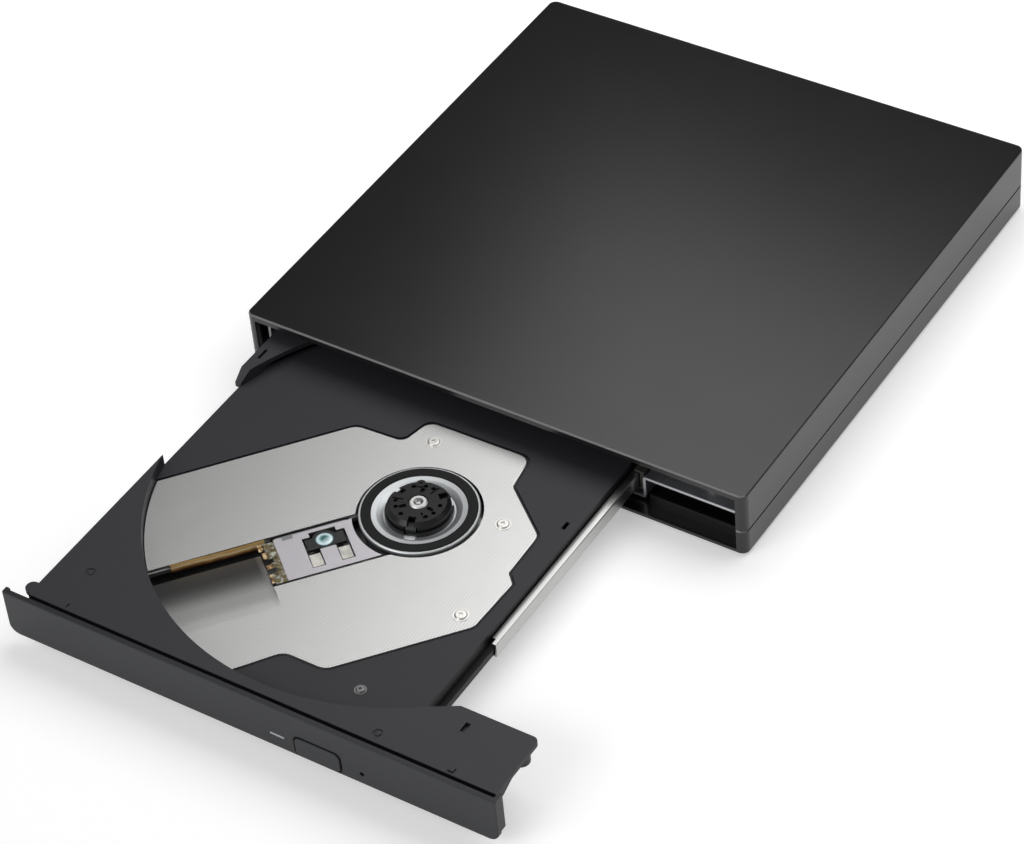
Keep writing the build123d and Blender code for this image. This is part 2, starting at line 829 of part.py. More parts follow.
def rim_stakes():
    """Domed stakes in their rings, and a small square catch near the wing's front."""
    stakes = slab(disc_x + 49.4, disc_x + 50.8, disc_y - 64.4, disc_y - 63.2, rim_under, tray_rim_top + 0.4)
    for x, y in stake_spots():
        stake = post(x, y, rim_under, tray_rim_top + 0.15, stake_radius)
        stakes += fillet(stake.faces().sort_by(Axis.Z)[-1].edges(), stake_radius * 0.5)
    return stakes


def wing_gusset():
    """Thin wall under the wing's right edge, tapering away behind the bezel."""
    side = Polygon(
        (tray_top_front, rim_under + 0.1),
        (tray_top_front, rim_under - gusset_height),
        (tray_top_front + gusset_length * 0.4, rim_under - gusset_height),
        (tray_top_front + gusset_length, rim_under + 0.1),
        align=None,
    )
    return extrude(Plane.YZ.offset(wing_right - gusset_width) * side, gusset_width, dir=(1, 0, 0))


def tray_frame():
    tray = tray_box() + front_rim() + rear_corners() + tongue(1) + tongue(-1)
    tray += post(latch_pivot_x, latch_pivot_y, latch_low, rim_under, 0.9)
    tray += slab(39.0, 46.0, latch_pivot_y - 2, latch_pivot_y + 4, rim_under - 0.3, rim_under)
    tray -= plate_seat()
    tray -= front_openings()
    tray -= rim_marks()
    tray += rim_stakes() + wing_gusset()
    x, y = tray_screw_spot()
    tray -= post(x, y, tray_floor_under - 1, tray_floor_top + 1, plate_screw_radius)
    return one_solid(tray)


def front_bezel():
    width = bezel_width / 2
    face = slab(-width, width, bezel_front, bezel_back, bezel_low, bezel_high)
    low = [e for e in face.edges().filter_by(Axis.Y) if e.center().Z < bezel_low + 0.1]
    face = fillet(low, bezel_corner_radius)
    rim_edges = face.faces().sort_by(Axis.Y)[0].edges()
    face = fillet(rim_edges, bezel_edge_radius)
    for side, depth in ((-1, left_flange_depth), (1, right_flange_depth)):
        outer = side * width
        inner = outer - side * bezel_flange
        z0 = bezel_low + bezel_corner_radius
        face += slab(min(outer, inner), max(outer, inner), bezel_back, bezel_front + depth, z0, bezel_high)
    face += slab(-width + bezel_corner_radius, width - bezel_corner_radius, bezel_back,
                 bezel_back + 0.5, bezel_low, bezel_low + 0.9)
    grown = 2 * button_gap
    face -= front_pad(button_x, button_z, button_width + grown, button_height + grown,
                      bezel_front - 1, bezel_back + 2, button_corner + button_gap)
    face -= front_pad(light_x, light_z, light_width, light_height, bezel_front - 1, bezel_back + 2, 0.2)
    return face - lying_bore(release_hole_x, release_hole_z, bezel_front - 1, bezel_back + 2,
                             release_hole_radius)


def eject_button():
    y0 = bezel_front - button_proud
    cap = front_pad(button_x, button_z, button_width, button_height, y0, bezel_back + 0.1, button_corner)
    cap = fillet(cap.faces().sort_by(Axis.Y)[0].edges(), 0.3)
    return cap + slab(button_x - 1, button_x + 1, bezel_back, button_stem_end(), button_z - 0.5,
                      button_z + 0.5)


def button_stem_end():
    return tray_front + 3.4


def light_pipe():
    y0 = bezel_front + 0.1
    pipe = front_pad(light_x, light_z, light_width - 0.1, light_height - 0.1, y0, tray_front + 3.6, 0.2)
    return pipe


def tray_board():
    """Board under the front rim with the eject switch and the indicator lamp."""
    y0 = tray_front + tray_wall + 0.3
    board = slab(light_x - 4, tray_right - tray_wall - 0.4, y0, y0 + 7.5, tray_bottom, tray_bottom + 0.8)
    lamp = slab(light_x - 1.5, light_x + 1.5, tray_front + 3.9, tray_front + 5.9, tray_bottom + 0.8,
                light_z + light_height / 2)
    return board + lamp


def eject_switch():
    y0 = button_stem_end() + button_travel + touch
    body = slab(button_x - 3, button_x + 3, y0 + 0.4, y0 + 4, tray_bottom + 0.8, button_z + 1.4)
    return body + slab(button_x - 1.2, button_x + 1.2, y0, y0 + 0.4, button_z - 0.6, button_z + 0.6)


def base_plate():
    """Steel sheet that closes the tray from below."""
    sheet = slab(tray_side_left, tray_right, tray_front + tray_wall, tray_rear, base_plate_z, tray_bottom)
    sheet = fillet(sheet.edges().filter_by(Axis.Z), 1.5)
    sheet -= sled * slab(-4, 4, -4, 4, base_plate_z - 1, tray_bottom + 1)
    for x in (-44.0, -28.0, -12.0):
        sheet -= rounded_slab(x, x + 9, tray_rear - 22, tray_rear - 12, base_plate_z - 1,
                              tray_bottom + 1, 1.0)
    return sheet


def base_screws():
    screws = []
    left = tray_side_left + base_screw_inset
    right = tray_right - base_screw_inset
    front = tray_front + tray_wall + 10
    rear = tray_rear - 14
    for x, y in ((left, front), (left, rear), (right, rear), (right, front + 18)):
        screws.append(post(x, y, base_plate_z - base_screw_head, base_plate_z, base_screw_radius))
    return screws


def plate_posts():
    return [post(disc_x + x, disc_y + y, tray_bottom, plate_under, plate_post_radius)
            - post(disc_x + x, disc_y + y, tray_bottom + 1, plate_under + 1, plate_screw_radius)
            for x, y in plate_screws]


def screw_with_head(x, y, seat, length, radius):
    """Domed head on a thin flange, with a small cross in it."""
    head = post(x, y, seat, seat + plate_screw_head, radius * 0.78)
    head = fillet(head.faces().sort_by(Axis.Z)[-1].edges(), plate_screw_head * 0.7)
    head += post(x, y, seat, seat + plate_screw_head * 0.25, radius)
    arm = radius * 0.32
    head -= slab(x - 0.15, x + 0.15, y - arm, y + arm, seat + 0.2, seat + 1)
    head -= slab(x - arm, x + arm, y - 0.15, y + 0.15, seat + 0.2, seat + 1)
    return head + post(x, y, seat - length, seat, plate_screw_radius - running_gap)


def plate_screw_set():
    return [screw_with_head(disc_x + x, disc_y + y, tray_floor_top, plate_screw_length,
                            plate_screw_head_radius) for x, y in plate_screws]


def tray_screw_spot():
    reach = recess_radius - tray_screw_inset
    angle = radians(tray_screw_angle)
    return disc_x + reach * cos(angle), disc_y + reach * sin(angle)


def tray_screw():
    x, y = tray_screw_spot()
    return screw_with_head(x, y, tray_floor_top, tray_screw_length, tray_screw_head_radius)


def cover_plate():
    """Silver sheet over the mechanism, with a shelf folded down beside the pickup's slot."""
    sheet = raised(disc_axis * Pos(0, 0, plate_under) * plate_outline(0), plate_sheet)
    sheet &= recess_cylinder(plate_radius, plate_under, tray_floor_top)
    sheet -= recess_cylinder(turntable_hole_radius, plate_under - 1, tray_floor_top + 1)
    sheet -= sled * slab(5, recess_radius + 5, slot_rear, slot_front, plate_under - 1, tray_floor_top + 1)
    sheet -= sled * slab(shelf_start, recess_radius + 5, slot_front - 1, shelf_outer, plate_under - 1,
                         tray_floor_top + 1)
    upper = Spline(
        (shelf_edge, shelf_top - shelf_fall),
        (slot_front - shelf_bend, shelf_top),
        (shelf_outer, tray_floor_top),
        tangents=[(1, shelf_slope), (1, 0)],
    )
    lower = Pos(0, -plate_sheet, 0) * upper
    ends = [Line(upper @ 0, lower @ 0), Line(upper @ 1, lower @ 1)]
    profile = make_face([upper, lower, *ends])
    length = plate_radius - shelf_start + 3
    shelf = extrude(Plane.YZ.offset(shelf_start) * profile, length, dir=(1, 0, 0))
    sheet += (sled * shelf) & recess_cylinder(plate_radius, plate_under - 3, tray_floor_top + 1)
    for x, y in plate_screws:
        sheet -= post(disc_x + x, disc_y + y, plate_under - 1, tray_floor_top + 1, plate_screw_radius)
    return one_solid(sheet)


def pickup_flex():
    """Gold ribbon standing along the rear edge of the slot."""
    return sled * slab(shelf_start - 1, plate_radius - 2, slot_rear, slot_rear + 0.15, plate_under - 1.3,
                       tray_floor_top - 0.1)


# Mechanism carried by the tray

def inside_tray(shape):
    room = slab(tray_side_left + tray_wall + touch, tray_right - tray_wall - touch,
                tray_front + tray_wall + touch, tray_rear - tray_wall - touch, tray_bottom, tray_floor_top)
    return shape & room


def traverse_frame():
    """Pressed frame on rubber bushes that carries the spindle motor, the rods and the sled motor."""
    low = frame_z
    high = low + frame_sheet
    rear = rod_rear - 7.0
    front = screw_offset + 4.5
    frame = slab(-13.4, rod_end + 1.6, rear, front, low, high)
    frame -= slab(rod_start + rod_seat, rod_end - rod_seat, rod_rear - 3.6, rod_front + 3.6,
                  low - 1, high + 1)
    frame -= slab(screw_start - 0.2, screw_end, rod_front + 3, screw_offset + screw_radius + 0.4,
                  low - 1, high + 1)
    frame -= post(0, 0, low - 1, high + 1, 11.6)
    for n in (rod_rear, rod_front):
        for u0 in (rod_start, rod_end - rod_seat):
            frame += slab(u0, u0 + rod_seat, n - 1.8, n + 1.8, low, rod_z + rod_radius + 0.9)
    frame += slab(screw_end, screw_end + 1.4, screw_offset - 1.8, screw_offset + 1.8, low, rod_z + 2.2)
    for n in (rod_rear, rod_front):
        frame -= bar(rod_start - 1, rod_end + 1, n, rod_z, rod_radius)
    frame -= bar(screw_end - 1, screw_end + 2, screw_offset, rod_z, 0.55)
    frame -= bar(screw_start - motor_length - 1, screw_start, screw_offset, rod_z, motor_radius + 0.05)
    return one_solid(inside_tray(sled * frame))


def bush_spots():
    return [(-9.0, rod_rear - 4.6), (-11.0, 14.5), (46.0, rod_rear - 5.2)]


def damper_bushes():
    z = tray_bottom + bush_height / 2
    return [sled * Pos(u, n, z) * Cylinder(bush_radius, bush_height) for u, n in bush_spots()]


def guide_rods():
    return [sled * bar(rod_start + 0.1, rod_end - 0.1, n, rod_z, rod_radius - 0.005)
            for n in (rod_rear, rod_front)]


def sled_motor():
    body = bar(screw_start - motor_length, screw_start - 0.8, screw_offset, rod_z, motor_radius)
    flat = slab(-50, 50, screw_offset - 5, screw_offset + 5, rod_z - 2.2, rod_z + 2.2)
    return sled * ((body & flat) + bar(screw_start - 0.8, screw_start - 0.3, screw_offset, rod_z, 1.0))


def lead_screw():
    """Steel screw with its thread shown as turned grooves."""
    shaft = bar(screw_start, screw_end - touch, screw_offset, rod_z, screw_radius)
    shaft += bar(screw_end - touch - 0.1, screw_end + 1.3, screw_offset, rod_z, 0.5)
    u = screw_start + 1.5
    while u < screw_end - 3:
        ring = bar(u, u + 0.8, screw_offset, rod_z, screw_radius + 1)
        ring -= bar(u - 1, u + 2, screw_offset, rod_z, screw_radius - 0.25)
        shaft -= ring
        u += screw_pitch
    return sled * shaft


def motor_base():
    """Fixed plate and bearing sleeve of the spindle motor."""
    base = post(0, 0, frame_z, frame_z + motor_plate_sheet, motor_plate_radius)
    base += post(0, 0, frame_z, turntable_low - 2.0, sleeve_radius)
    base -= post(0, 0, tray_bottom, turntable_top, spindle_radius + running_gap)
    return disc_axis * base


def motor_stator():
    """Wound teeth round the bearing sleeve."""
    plate_top = frame_z + motor_plate_sheet
    low = plate_top + 0.5
    high = low + stator_height
    core = post(0, 0, low, high, stator_radius / 2)
    for index in range(stator_teeth):
        tooth = slab(stator_radius / 2 - 0.8, stator_radius, -0.9, 0.9, low, high)
        core += Rot(0, 0, index * 360.0 / stator_teeth) * tooth
    core += post(0, 0, plate_top, low, sleeve_radius + 1)
    core -= post(0, 0, plate_top - 1, high + 1, sleeve_radius)
    return disc_axis * core


def ring_section(points):
    """A turned piece from its half section."""
    face = Polygon(*points, align=None)
    return revolve(Plane.XZ * face, Axis.Z, 360)


def turntable():
    """Rotor cup, disc table and shaft, turned as one piece."""
    table_low = turntable_low
    cup_low = table_low - rotor_height
    top = turntable_top
    seat = dish_z
    points = [
        (0, tray_bottom + 1.0),
        (spindle_radius, tray_bottom + 1.0),
        (spindle_radius, table_low),
        (rotor_radius - rotor_wall, table_low),
        (rotor_radius - rotor_wall, cup_low),
        (rotor_radius, cup_low),
        (rotor_radius, table_low),
        (turntable_radius - 0.4, table_low),
        (turntable_radius, table_low + 0.4),
        (turntable_radius, top - 0.2),
        (turntable_radius - 0.2, top),
        (ring_outer_radius + 0.05, top),
        (ring_outer_radius + 0.05, seat),
        (ring_inner_radius - 0.05, seat),
        (ring_inner_radius - 0.05, top),
        (hub_radius + 2.4, top - 0.15),
        (hub_radius + 0.9, seat),
        (hub_radius - 0.6, seat),
        (1.6, seat),
        (1.6, hub_top - hub_dimple),
        (0, hub_top - hub_dimple),
    ]
    table = ring_section(points)
    tab = slab(hub_flange_radius + 0.1, dish_tab_reach, -dish_tab_width / 2, dish_tab_width / 2,
               seat - 0.1, seat + 0.45)
    return disc_axis * (table + Rot(0, 0, claw_angle) * tab)


def rubber_ring():
    seat = dish_z
    points = [
        (ring_inner_radius, seat),
        (ring_outer_radius, seat),
        (ring_outer_radius, ring_top - 0.15),
        (ring_outer_radius - 0.15, ring_top),
        (ring_inner_radius + 0.15, ring_top),
        (ring_inner_radius, ring_top - 0.15),
    ]
    return disc_axis * ring_section(points)


def claw_angles():
    return [claw_angle + index * 360.0 / claw_count for index in range(claw_count)]


def hub():
    """Centring boss with claw windows, spokes, a ring of blind holes and a small eyelet."""
    seat = dish_z
    boss = post(0, 0, seat, hub_top, hub_radius)
    boss = chamfer(boss.faces().sort_by(Axis.Z)[-1].edges(), hub_chamfer)
    boss += post(0, 0, seat, ring_top, hub_flange_radius)
    boss -= post(0, 0, seat - 1, hub_top + 1, 1.65)
    boss -= post(0, 0, hub_top - hub_dimple, hub_top + 1, 2.3)
    for angle in claw_angles():
        window = slab(hub_radius - 2.6, hub_radius + 1, -claw_width / 2 - 0.3, claw_width / 2 + 0.3,
                      seat - 1, hub_top - 0.9)
        window += slab(hub_radius - 2.6, hub_radius + 1, -claw_width / 2 + 0.3, claw_width / 2 - 0.3,
                       seat - 1, hub_top + 1)
        boss -= Rot(0, 0, angle) * window
        for turn in (-34, 34, 56):
            boss -= Rot(0, 0, angle + turn) * post(5.2, 0, hub_top - 0.6, hub_top + 1, 0.55)
        boss -= Rot(0, 0, angle + 180) * slab(2.9, 4.5, -0.5, 0.5, hub_top - 0.6, hub_top + 1)
        boss -= Rot(0, 0, angle + 26) * slab(3.6, 6.2, -0.2, 0.2, hub_top - 0.4, hub_top + 1)
    eyelet = post(hub_radius - 1.6, 0, hub_top - 1, hub_top + 0.25, 1.1)
    eyelet -= post(hub_radius - 1.6, 0, hub_top - 1, hub_top + 1, 0.4)
    return disc_axis * (boss + Rot(0, 0, claw_angle + 189) * eyelet)


def hub_cap():
    """Small steel collar on top of the shaft."""
    points = [
        (0.6, hub_top - hub_dimple),
        (2.1, hub_top - hub_dimple),
        (2.1, hub_top - 0.1),
        (1.8, hub_top + 0.15),
        (1.1, hub_top + 0.15),
        (0.6, hub_top - 0.15),
    ]
    return disc_axis * ring_section(points)


def hub_claw(angle):
    """Spring claw that centres the disc; it gives way towards the shaft."""
    seat = dish_z
    inner = hub_radius - 2.5 + claw_travel
    body = slab(inner, hub_radius - 0.05, -claw_width / 2, claw_width / 2, seat + 0.3, seat + 2.2)
    nose = [e for e in body.edges().filter_by(Axis.Y) if e.center().X > hub_radius - 0.1]
    body = chamfer(nose, 0.45)
    return disc_axis * Rot(0, 0, angle) * body


def pickup_block():
    """Cast block that rides on both rods, with its bridge through the slot."""
    block = slab(pickup_start, pickup_end, rod_rear - 2.6, rod_front + 2.4, pickup_low, pickup_block_top)
    block -= post(0, 0, pickup_low - 1, pickup_block_top + 1, turntable_radius + 0.7)
    riser = slab(pickup_start + 1.2, pickup_end - 0.5, slot_rear + 0.6, shelf_edge - 0.4,
                 pickup_block_top - 0.1, pickup_cover_top - pickup_cover_sheet)
    riser -= slab(lens_u - 4.6, lens_u + 4.6, pickup_cover_rear + 0.6, 0, pickup_block_top - 1,
                  pickup_cover_top)
    block += riser
    for n in (rod_rear, rod_front):
        block -= bar(pickup_start - 4, pickup_end + 1, n, rod_z, rod_radius + running_gap)
    arm = pickup_start + follower_start
    block += slab(arm, arm + follower_length, rod_front + 2.3, screw_offset - screw_radius - 0.15,
                  rod_z - 0.8, rod_z + 0.8)
    return sled * one_solid(block)


def pickup_cover():
    """Bright sheet round the lens, cut back to clear the turntable."""
    z0 = pickup_cover_top - pickup_cover_sheet
    sheet = slab(pickup_start - 4, pickup_end, pickup_cover_rear, pickup_cover_front, z0, pickup_cover_top)
    sheet -= post(0, 0, z0 - 1, pickup_cover_top + 1, turntable_radius + 1.5)
    cut = slab(lens_u - 5.1, lens_u + 4.9, -1.6, 8.2, z0 - 1, pickup_cover_top + 1)
    cut += slab(lens_u - 3.2, lens_u + 3.0, -2.9, 0, z0 - 1, pickup_cover_top + 1)
    sheet -= cut
    sheet += slab(lens_u - 1.9, lens_u + 1.8, 2.9, 8.3, z0, pickup_cover_top)
    sheet -= slab(pickup_end - 4.4, pickup_end - 1.9, pickup_cover_rear - 1, pickup_cover_rear + 1.1,
                  z0 - 1, pickup_cover_top + 1)
    return sled * one_solid(sheet)


def pickup_magnets():
    """Two yoke blocks beside the lens."""
    pads = []
    for u in (lens_u - 4.7, lens_u + 2.1):
        pads.append(sled * slab(u, u + 2.6, 4.0, 7.9, pickup_cover_top - 0.45, pickup_cover_top - 0.05))
    return pads


def pickup_tail():
    """Laser end of the pickup, with its flat leads."""
    z1 = pickup_cover_top
    u = pickup_end
    z0 = z1 - pickup_cover_sheet
    block = slab(u, u + 1.5, -3.2, 9.9, z0, z1 - 0.05)
    block += slab(u, u + 2.9, 6.4, 9.9, z0, z1)
    block += slab(u, u + 2.6, -3.4, 1.6, z0, z1 - 0.1)
    block += slab(u, u + 2.2, 3.0, 4.6, z0, z1 - 0.1)
    return sled * block


def lens_holder():
    """Black actuator that carries the lens."""
    z0 = pickup_cover_top - 0.9
    z1 = pickup_cover_top - 0.1 - focus_travel / 2
    holder = post(lens_u, 0, z0, z1, lens_radius + 0.75)
    holder += slab(lens_u - 4.6, lens_u + 4.4, -1.2, 2.3, z0, z1)
    holder -= post(lens_u, 0, z1 - 0.15, z1 + 1, lens_radius)
    return sled * holder


def objective_lens():
    z0 = pickup_cover_top - 0.25 - focus_travel / 2
    lens = post(lens_u, 0, z0, z0 + 0.15, lens_radius - 0.02)
    dome = Pos(lens_u, 0, z0 + 0.5 - lens_curve) * Sphere(lens_curve)
    cap = dome & post(lens_u, 0, z0, z0 + 1, lens_radius - 0.3)
    return sled * (lens + cap)


def latch_lever():
    """Hook that swings behind the chassis pin when the tray is shut."""
    z0 = latch_low + 0.2
    z1 = z0 + latch_thickness
    px = latch_pivot_x
    py = latch_pivot_y
    lever = post(px, py, z0, z1, 2.0)
    lever += slab(px - 1.0, px + 1.0, py, py + latch_arm, z0, z1)
    lever += slab(px - 1.0, px + latch_hook, py + latch_arm - 1.0, py + latch_arm, z0, z1)
    lever += slab(px - 5.0, px, py - 1.0, py + 1.0, z0, z1)
    return lever - post(px, py, z0 - 1, z1 + 1, 0.9 + running_gap)


def latch_solenoid():
    z1 = rim_under - 0.3
    return rounded_slab(39.4, 44.0, latch_pivot_y - 1.8, latch_pivot_y + 5.0, z1 - 2.6, z1, 0.4)


def side_bumper():
    """Half-round rubber stop under the wing's right edge."""
    return post(wing_right - bumper_inset, wing_rear - bumper_setback, rim_under - bumper_height, rim_under,
                bumper_radius)


def write(name, shape):
    pieces = shape if isinstance(shape, list) else [shape]
    solids = [solid for piece in pieces for solid in piece.solids()]
    item = solids[0] if len(solids) == 1 else Compound(children=solids)
    item.label = name
    export_step(item, f"parts/{name}.step")


def main():
    os.makedirs("parts", exist_ok=True)
    write("upper_shell", upper_shell())
    write("lower_shell", lower_shell())
    write("rubber_feet", rubber_feet())
    write("shell_screws", shell_screws())
    write("chassis_pan", chassis_pan())
    write("chassis_cover", chassis_cover())
    write("chassis_screws", chassis_screws())
    write("left_guide", rail_guide(-1))
    write("right_guide", rail_guide(1))
    write("drive_connector", drive_connector())
    write("board_connector", board_connector())
    write("bridge_board", bridge_board())
    write("bridge_parts", bridge_parts())
    write("usb_socket", usb_socket())
    write("dc_jack", dc_jack())
    write("main_board", main_board())
    write("main_chips", main_chips())
    write("flex_cable", flex_cable())
    write("latch_pin", latch_pin())
    write("left_rail", rail(-1))
    write("right_rail", rail(1))
    write("tray_frame", tray_frame())
    write("front_bezel", front_bezel())
    write("light_pipe", light_pipe())
    write("tray_board", tray_board())
    write("eject_switch", eject_switch())
    write("eject_button", eject_button())
    write("base_plate", base_plate())
    write("base_screws", base_screws())
    write("plate_posts", plate_posts())
    write("cover_plate", cover_plate())
    write("plate_screws", plate_screw_set())
    write("tray_screw", tray_screw())
    write("pickup_flex", pickup_flex())
    write("traverse_frame", traverse_frame())
    write("damper_bushes", damper_bushes())
    write("guide_rods", guide_rods())
    write("sled_motor", sled_motor())
    write("lead_screw", lead_screw())
    write("motor_base", motor_base())
    write("motor_stator", motor_stator())
    write("turntable", turntable())
    write("rubber_ring", rubber_ring())
    write("hub", hub())
    write("hub_cap", hub_cap())
    for index, angle in enumerate(claw_angles(), start=1):
        write(f"hub_claw_{index}", hub_claw(angle))
    write("pickup_block", pickup_block())
    write("pickup_cover", pickup_cover())
    write("pickup_magnets", pickup_magnets())
    write("pickup_tail", pickup_tail())
    write("lens_holder", lens_holder())
    write("objective_lens", objective_lens())
    write("latch_lever", latch_lever())
    write("latch_solenoid", latch_solenoid())
    write("side_bumper", side_bumper())


main()
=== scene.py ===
import math

import bmesh
import bpy
from mathutils import Matrix, Vector


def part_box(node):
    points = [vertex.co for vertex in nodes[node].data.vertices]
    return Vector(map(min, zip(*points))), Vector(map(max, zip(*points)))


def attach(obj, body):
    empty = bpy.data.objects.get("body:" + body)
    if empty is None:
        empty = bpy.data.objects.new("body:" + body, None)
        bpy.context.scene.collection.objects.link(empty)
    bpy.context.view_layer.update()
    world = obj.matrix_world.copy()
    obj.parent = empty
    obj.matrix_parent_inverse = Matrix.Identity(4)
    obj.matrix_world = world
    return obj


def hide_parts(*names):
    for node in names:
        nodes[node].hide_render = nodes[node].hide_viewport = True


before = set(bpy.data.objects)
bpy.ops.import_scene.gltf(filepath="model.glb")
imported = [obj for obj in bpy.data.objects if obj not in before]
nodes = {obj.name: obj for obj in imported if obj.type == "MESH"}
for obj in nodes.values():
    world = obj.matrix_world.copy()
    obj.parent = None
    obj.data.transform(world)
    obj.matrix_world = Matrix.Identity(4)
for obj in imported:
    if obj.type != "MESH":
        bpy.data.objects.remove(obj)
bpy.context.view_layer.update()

mm = 0.001
discAxis = Vector((1.2, -100.5, 0.0)) * mm
slotTurn = math.radians(230.0)  # the pickup's slot leaves the spindle this way


def newNode(tree, kind, **values):
    node = tree.nodes.new(kind)
    for name, value in values.items():
        setattr(node, name, value)
    return node


def mapRange(tree, source, low, high, toLow=0.0, toHigh=1.0):
    node = newNode(tree, "ShaderNodeMapRange")
    node.inputs["From Min"].default_value = low
    node.inputs["From Max"].default_value = high
    node.inputs["To Min"].default_value = toLow
    node.inputs["To Max"].default_value = toHigh
    tree.links.new(source, node.inputs["Value"])
    return node.outputs["Result"]


def mathNode(tree, operation, first, second=0.0):
    node = newNode(tree, "ShaderNodeMath", operation=operation)
    for slot, value in zip(node.inputs, (first, second)):
        if isinstance(value, (int, float)):
            slot.default_value = value
        else:
            tree.links.new(value, slot)
    return node.outputs[0]


def colorRamp(tree, source, stops):
    node = newNode(tree, "ShaderNodeValToRGB")
    steps = node.color_ramp.elements
    while len(steps) < len(stops):
        steps.new(0.5)
    for step, (position, color) in zip(steps, stops):
        step.position = position
        step.color = (*color, 1)
    tree.links.new(source, node.inputs["Fac"])
    return node.outputs["Color"]


def mixColors(tree, factor, first, second):
    node = newNode(tree, "ShaderNodeMix", data_type="RGBA")
    tree.links.new(factor, node.inputs["Factor"])
    for slot, color in zip(node.inputs[6:8], (first, second)):
        if isinstance(color, tuple):
            slot.default_value = (*color, 1)
        else:
            tree.links.new(color, slot)
    return node.outputs[2]


def axesOf(tree, vector):
    split = newNode(tree, "ShaderNodeSeparateXYZ")
    tree.links.new(vector, split.inputs[0])
    return split.outputs


def objectCoordinates(tree, scale=(1, 1, 1), turn=0.0):
    source = newNode(tree, "ShaderNodeTexCoord")
    mapping = newNode(tree, "ShaderNodeMapping")
    mapping.inputs["Scale"].default_value = scale
    mapping.inputs["Rotation"].default_value = (0, 0, turn)
    tree.links.new(source.outputs["Object"], mapping.inputs["Vector"])
    return mapping.outputs["Vector"]


# x runs out along the pickup's slot, y across it
def slotCoordinates(tree):
    source = newNode(tree, "ShaderNodeTexCoord")
    mapping = newNode(tree, "ShaderNodeMapping", vector_type="TEXTURE")
    mapping.inputs["Location"].default_value = discAxis
    mapping.inputs["Rotation"].default_value = (0, 0, slotTurn)
    tree.links.new(source.outputs["Object"], mapping.inputs["Vector"])
    return axesOf(tree, mapping.outputs["Vector"])


def noiseOf(tree, vector, scale, detail=2.0):
    noise = newNode(tree, "ShaderNodeTexNoise")
    noise.inputs["Scale"].default_value = scale
    noise.inputs["Detail"].default_value = detail
    tree.links.new(vector, noise.inputs["Vector"])
    return noise.outputs["Fac"]


def addBump(tree, shader, height, strength, depth):
    bump = newNode(tree, "ShaderNodeBump")
    bump.inputs["Strength"].default_value = strength
    bump.inputs["Distance"].default_value = depth
    tree.links.new(height, bump.inputs["Height"])
    tree.links.new(bump.outputs["Normal"], shader.inputs["Normal"])


def addGrain(tree, shader, settings):
    vector = objectCoordinates(tree, settings.get("grainStretch", (1, 1, 1)))
    noise = noiseOf(tree, vector, settings["grainScale"])
    addBump(tree, shader, noise, settings["grain"], settings.get("grainDepth", 0.02) * mm)


def addMottle(tree, shader, settings):
    vector = objectCoordinates(tree, settings.get("mottleStretch", (1, 1, 1)))
    noise = noiseOf(tree, vector, settings["mottleScale"], detail=3.0)
    least, most = (settings["rough"] + side * settings["mottle"] for side in (-1, 1))
    tree.links.new(mapRange(tree, noise, 0.0, 1.0, least, most), shader.inputs["Roughness"])


def addTones(tree, shader, settings):
    vector = objectCoordinates(tree, settings.get("toneStretch", (1, 1, 1)))
    noise = noiseOf(tree, vector, settings["toneScale"], settings.get("toneDetail", 2.0))
    tree.links.new(colorRamp(tree, noise, settings["tones"]), shader.inputs["Base Color"])


# painted highlight along the front edges: faces that lean between up and forward are painted lighter
def addPaintedEdgeHighlight(tree, shader, settings):
    normal = axesOf(tree, newNode(tree, "ShaderNodeTexCoord").outputs["Normal"])
    forward = mathNode(tree, "MULTIPLY", normal["Y"], -1.0)
    lean = mathNode(tree, "MULTIPLY", forward, normal["Z"])
    edgeHighlight = mapRange(tree, lean, settings["edgeLow"], settings["edgeHigh"])
    tree.links.new(mixColors(tree, edgeHighlight, settings["color"], settings["edgeHighlightColor"]),
                   shader.inputs["Base Color"])


# painted shade: the recess is painted a little darker than the rim, walls are painted darker than flat faces,
# and all below the floor is painted near black
def addPaintedDepthShade(tree, shader, settings):
    source = newNode(tree, "ShaderNodeTexCoord")
    place = axesOf(tree, source.outputs["Object"])
    normal = axesOf(tree, source.outputs["Normal"])
    height = mapRange(tree, place["Z"], settings["deepLow"] * mm, settings["deepHigh"] * mm)
    level = mathNode(tree, "ABSOLUTE", normal["Z"])
    upward = mapRange(tree, level, settings["wallLevel"], settings["flatLevel"], settings["wallShadeTone"], 1.0)
    rise = mapRange(tree, place["Z"], settings["rimLow"] * mm, settings["rimHigh"] * mm)
    shallow = mixColors(tree, rise, settings["recessShadeColor"], settings["color"])
    light = mathNode(tree, "MULTIPLY", height, upward)
    tree.links.new(mixColors(tree, light, settings["deepShadeColor"], shallow), shader.inputs["Base Color"])


def makeSurface(name, settings):
    material = bpy.data.materials.new(name)
    material.use_nodes = True
    tree = material.node_tree
    shader = tree.nodes["Principled BSDF"]
    shader.inputs["Base Color"].default_value = (*settings["color"], 1)
    shader.inputs["Metallic"].default_value = settings.get("metal", 0.0)
    shader.inputs["Roughness"].default_value = settings["rough"]
    shader.inputs["Specular IOR Level"].default_value = settings.get("gloss", 0.5)
    shader.inputs["Transmission Weight"].default_value = settings.get("clear", 0.0)
    shader.inputs["Coat Weight"].default_value = settings.get("coat", 0.0)
    shader.inputs["Coat Roughness"].default_value = settings.get("coatRough", 0.1)
    if "mottle" in settings:
        addMottle(tree, shader, settings)
    if "grain" in settings:
        addGrain(tree, shader, settings)
    if "tones" in settings:
        addTones(tree, shader, settings)
    # a painted highlight on the front edges
    if "edgeHighlightColor" in settings:
        addPaintedEdgeHighlight(tree, shader, settings)
    # painted shade in the tray's recess, on its walls and below its floor
    if "deepShadeColor" in settings:
        addPaintedDepthShade(tree, shader, settings)
    return material


def paint(obj, material):
    obj.data.materials.clear()
    obj.data.materials.append(material)


def paintFinishes(finishes):
    for name, settings in finishes.items():
        material = makeSurface(name, settings)
        for nodeName in settings["nodes"]:
            paint(nodes[nodeName], material)


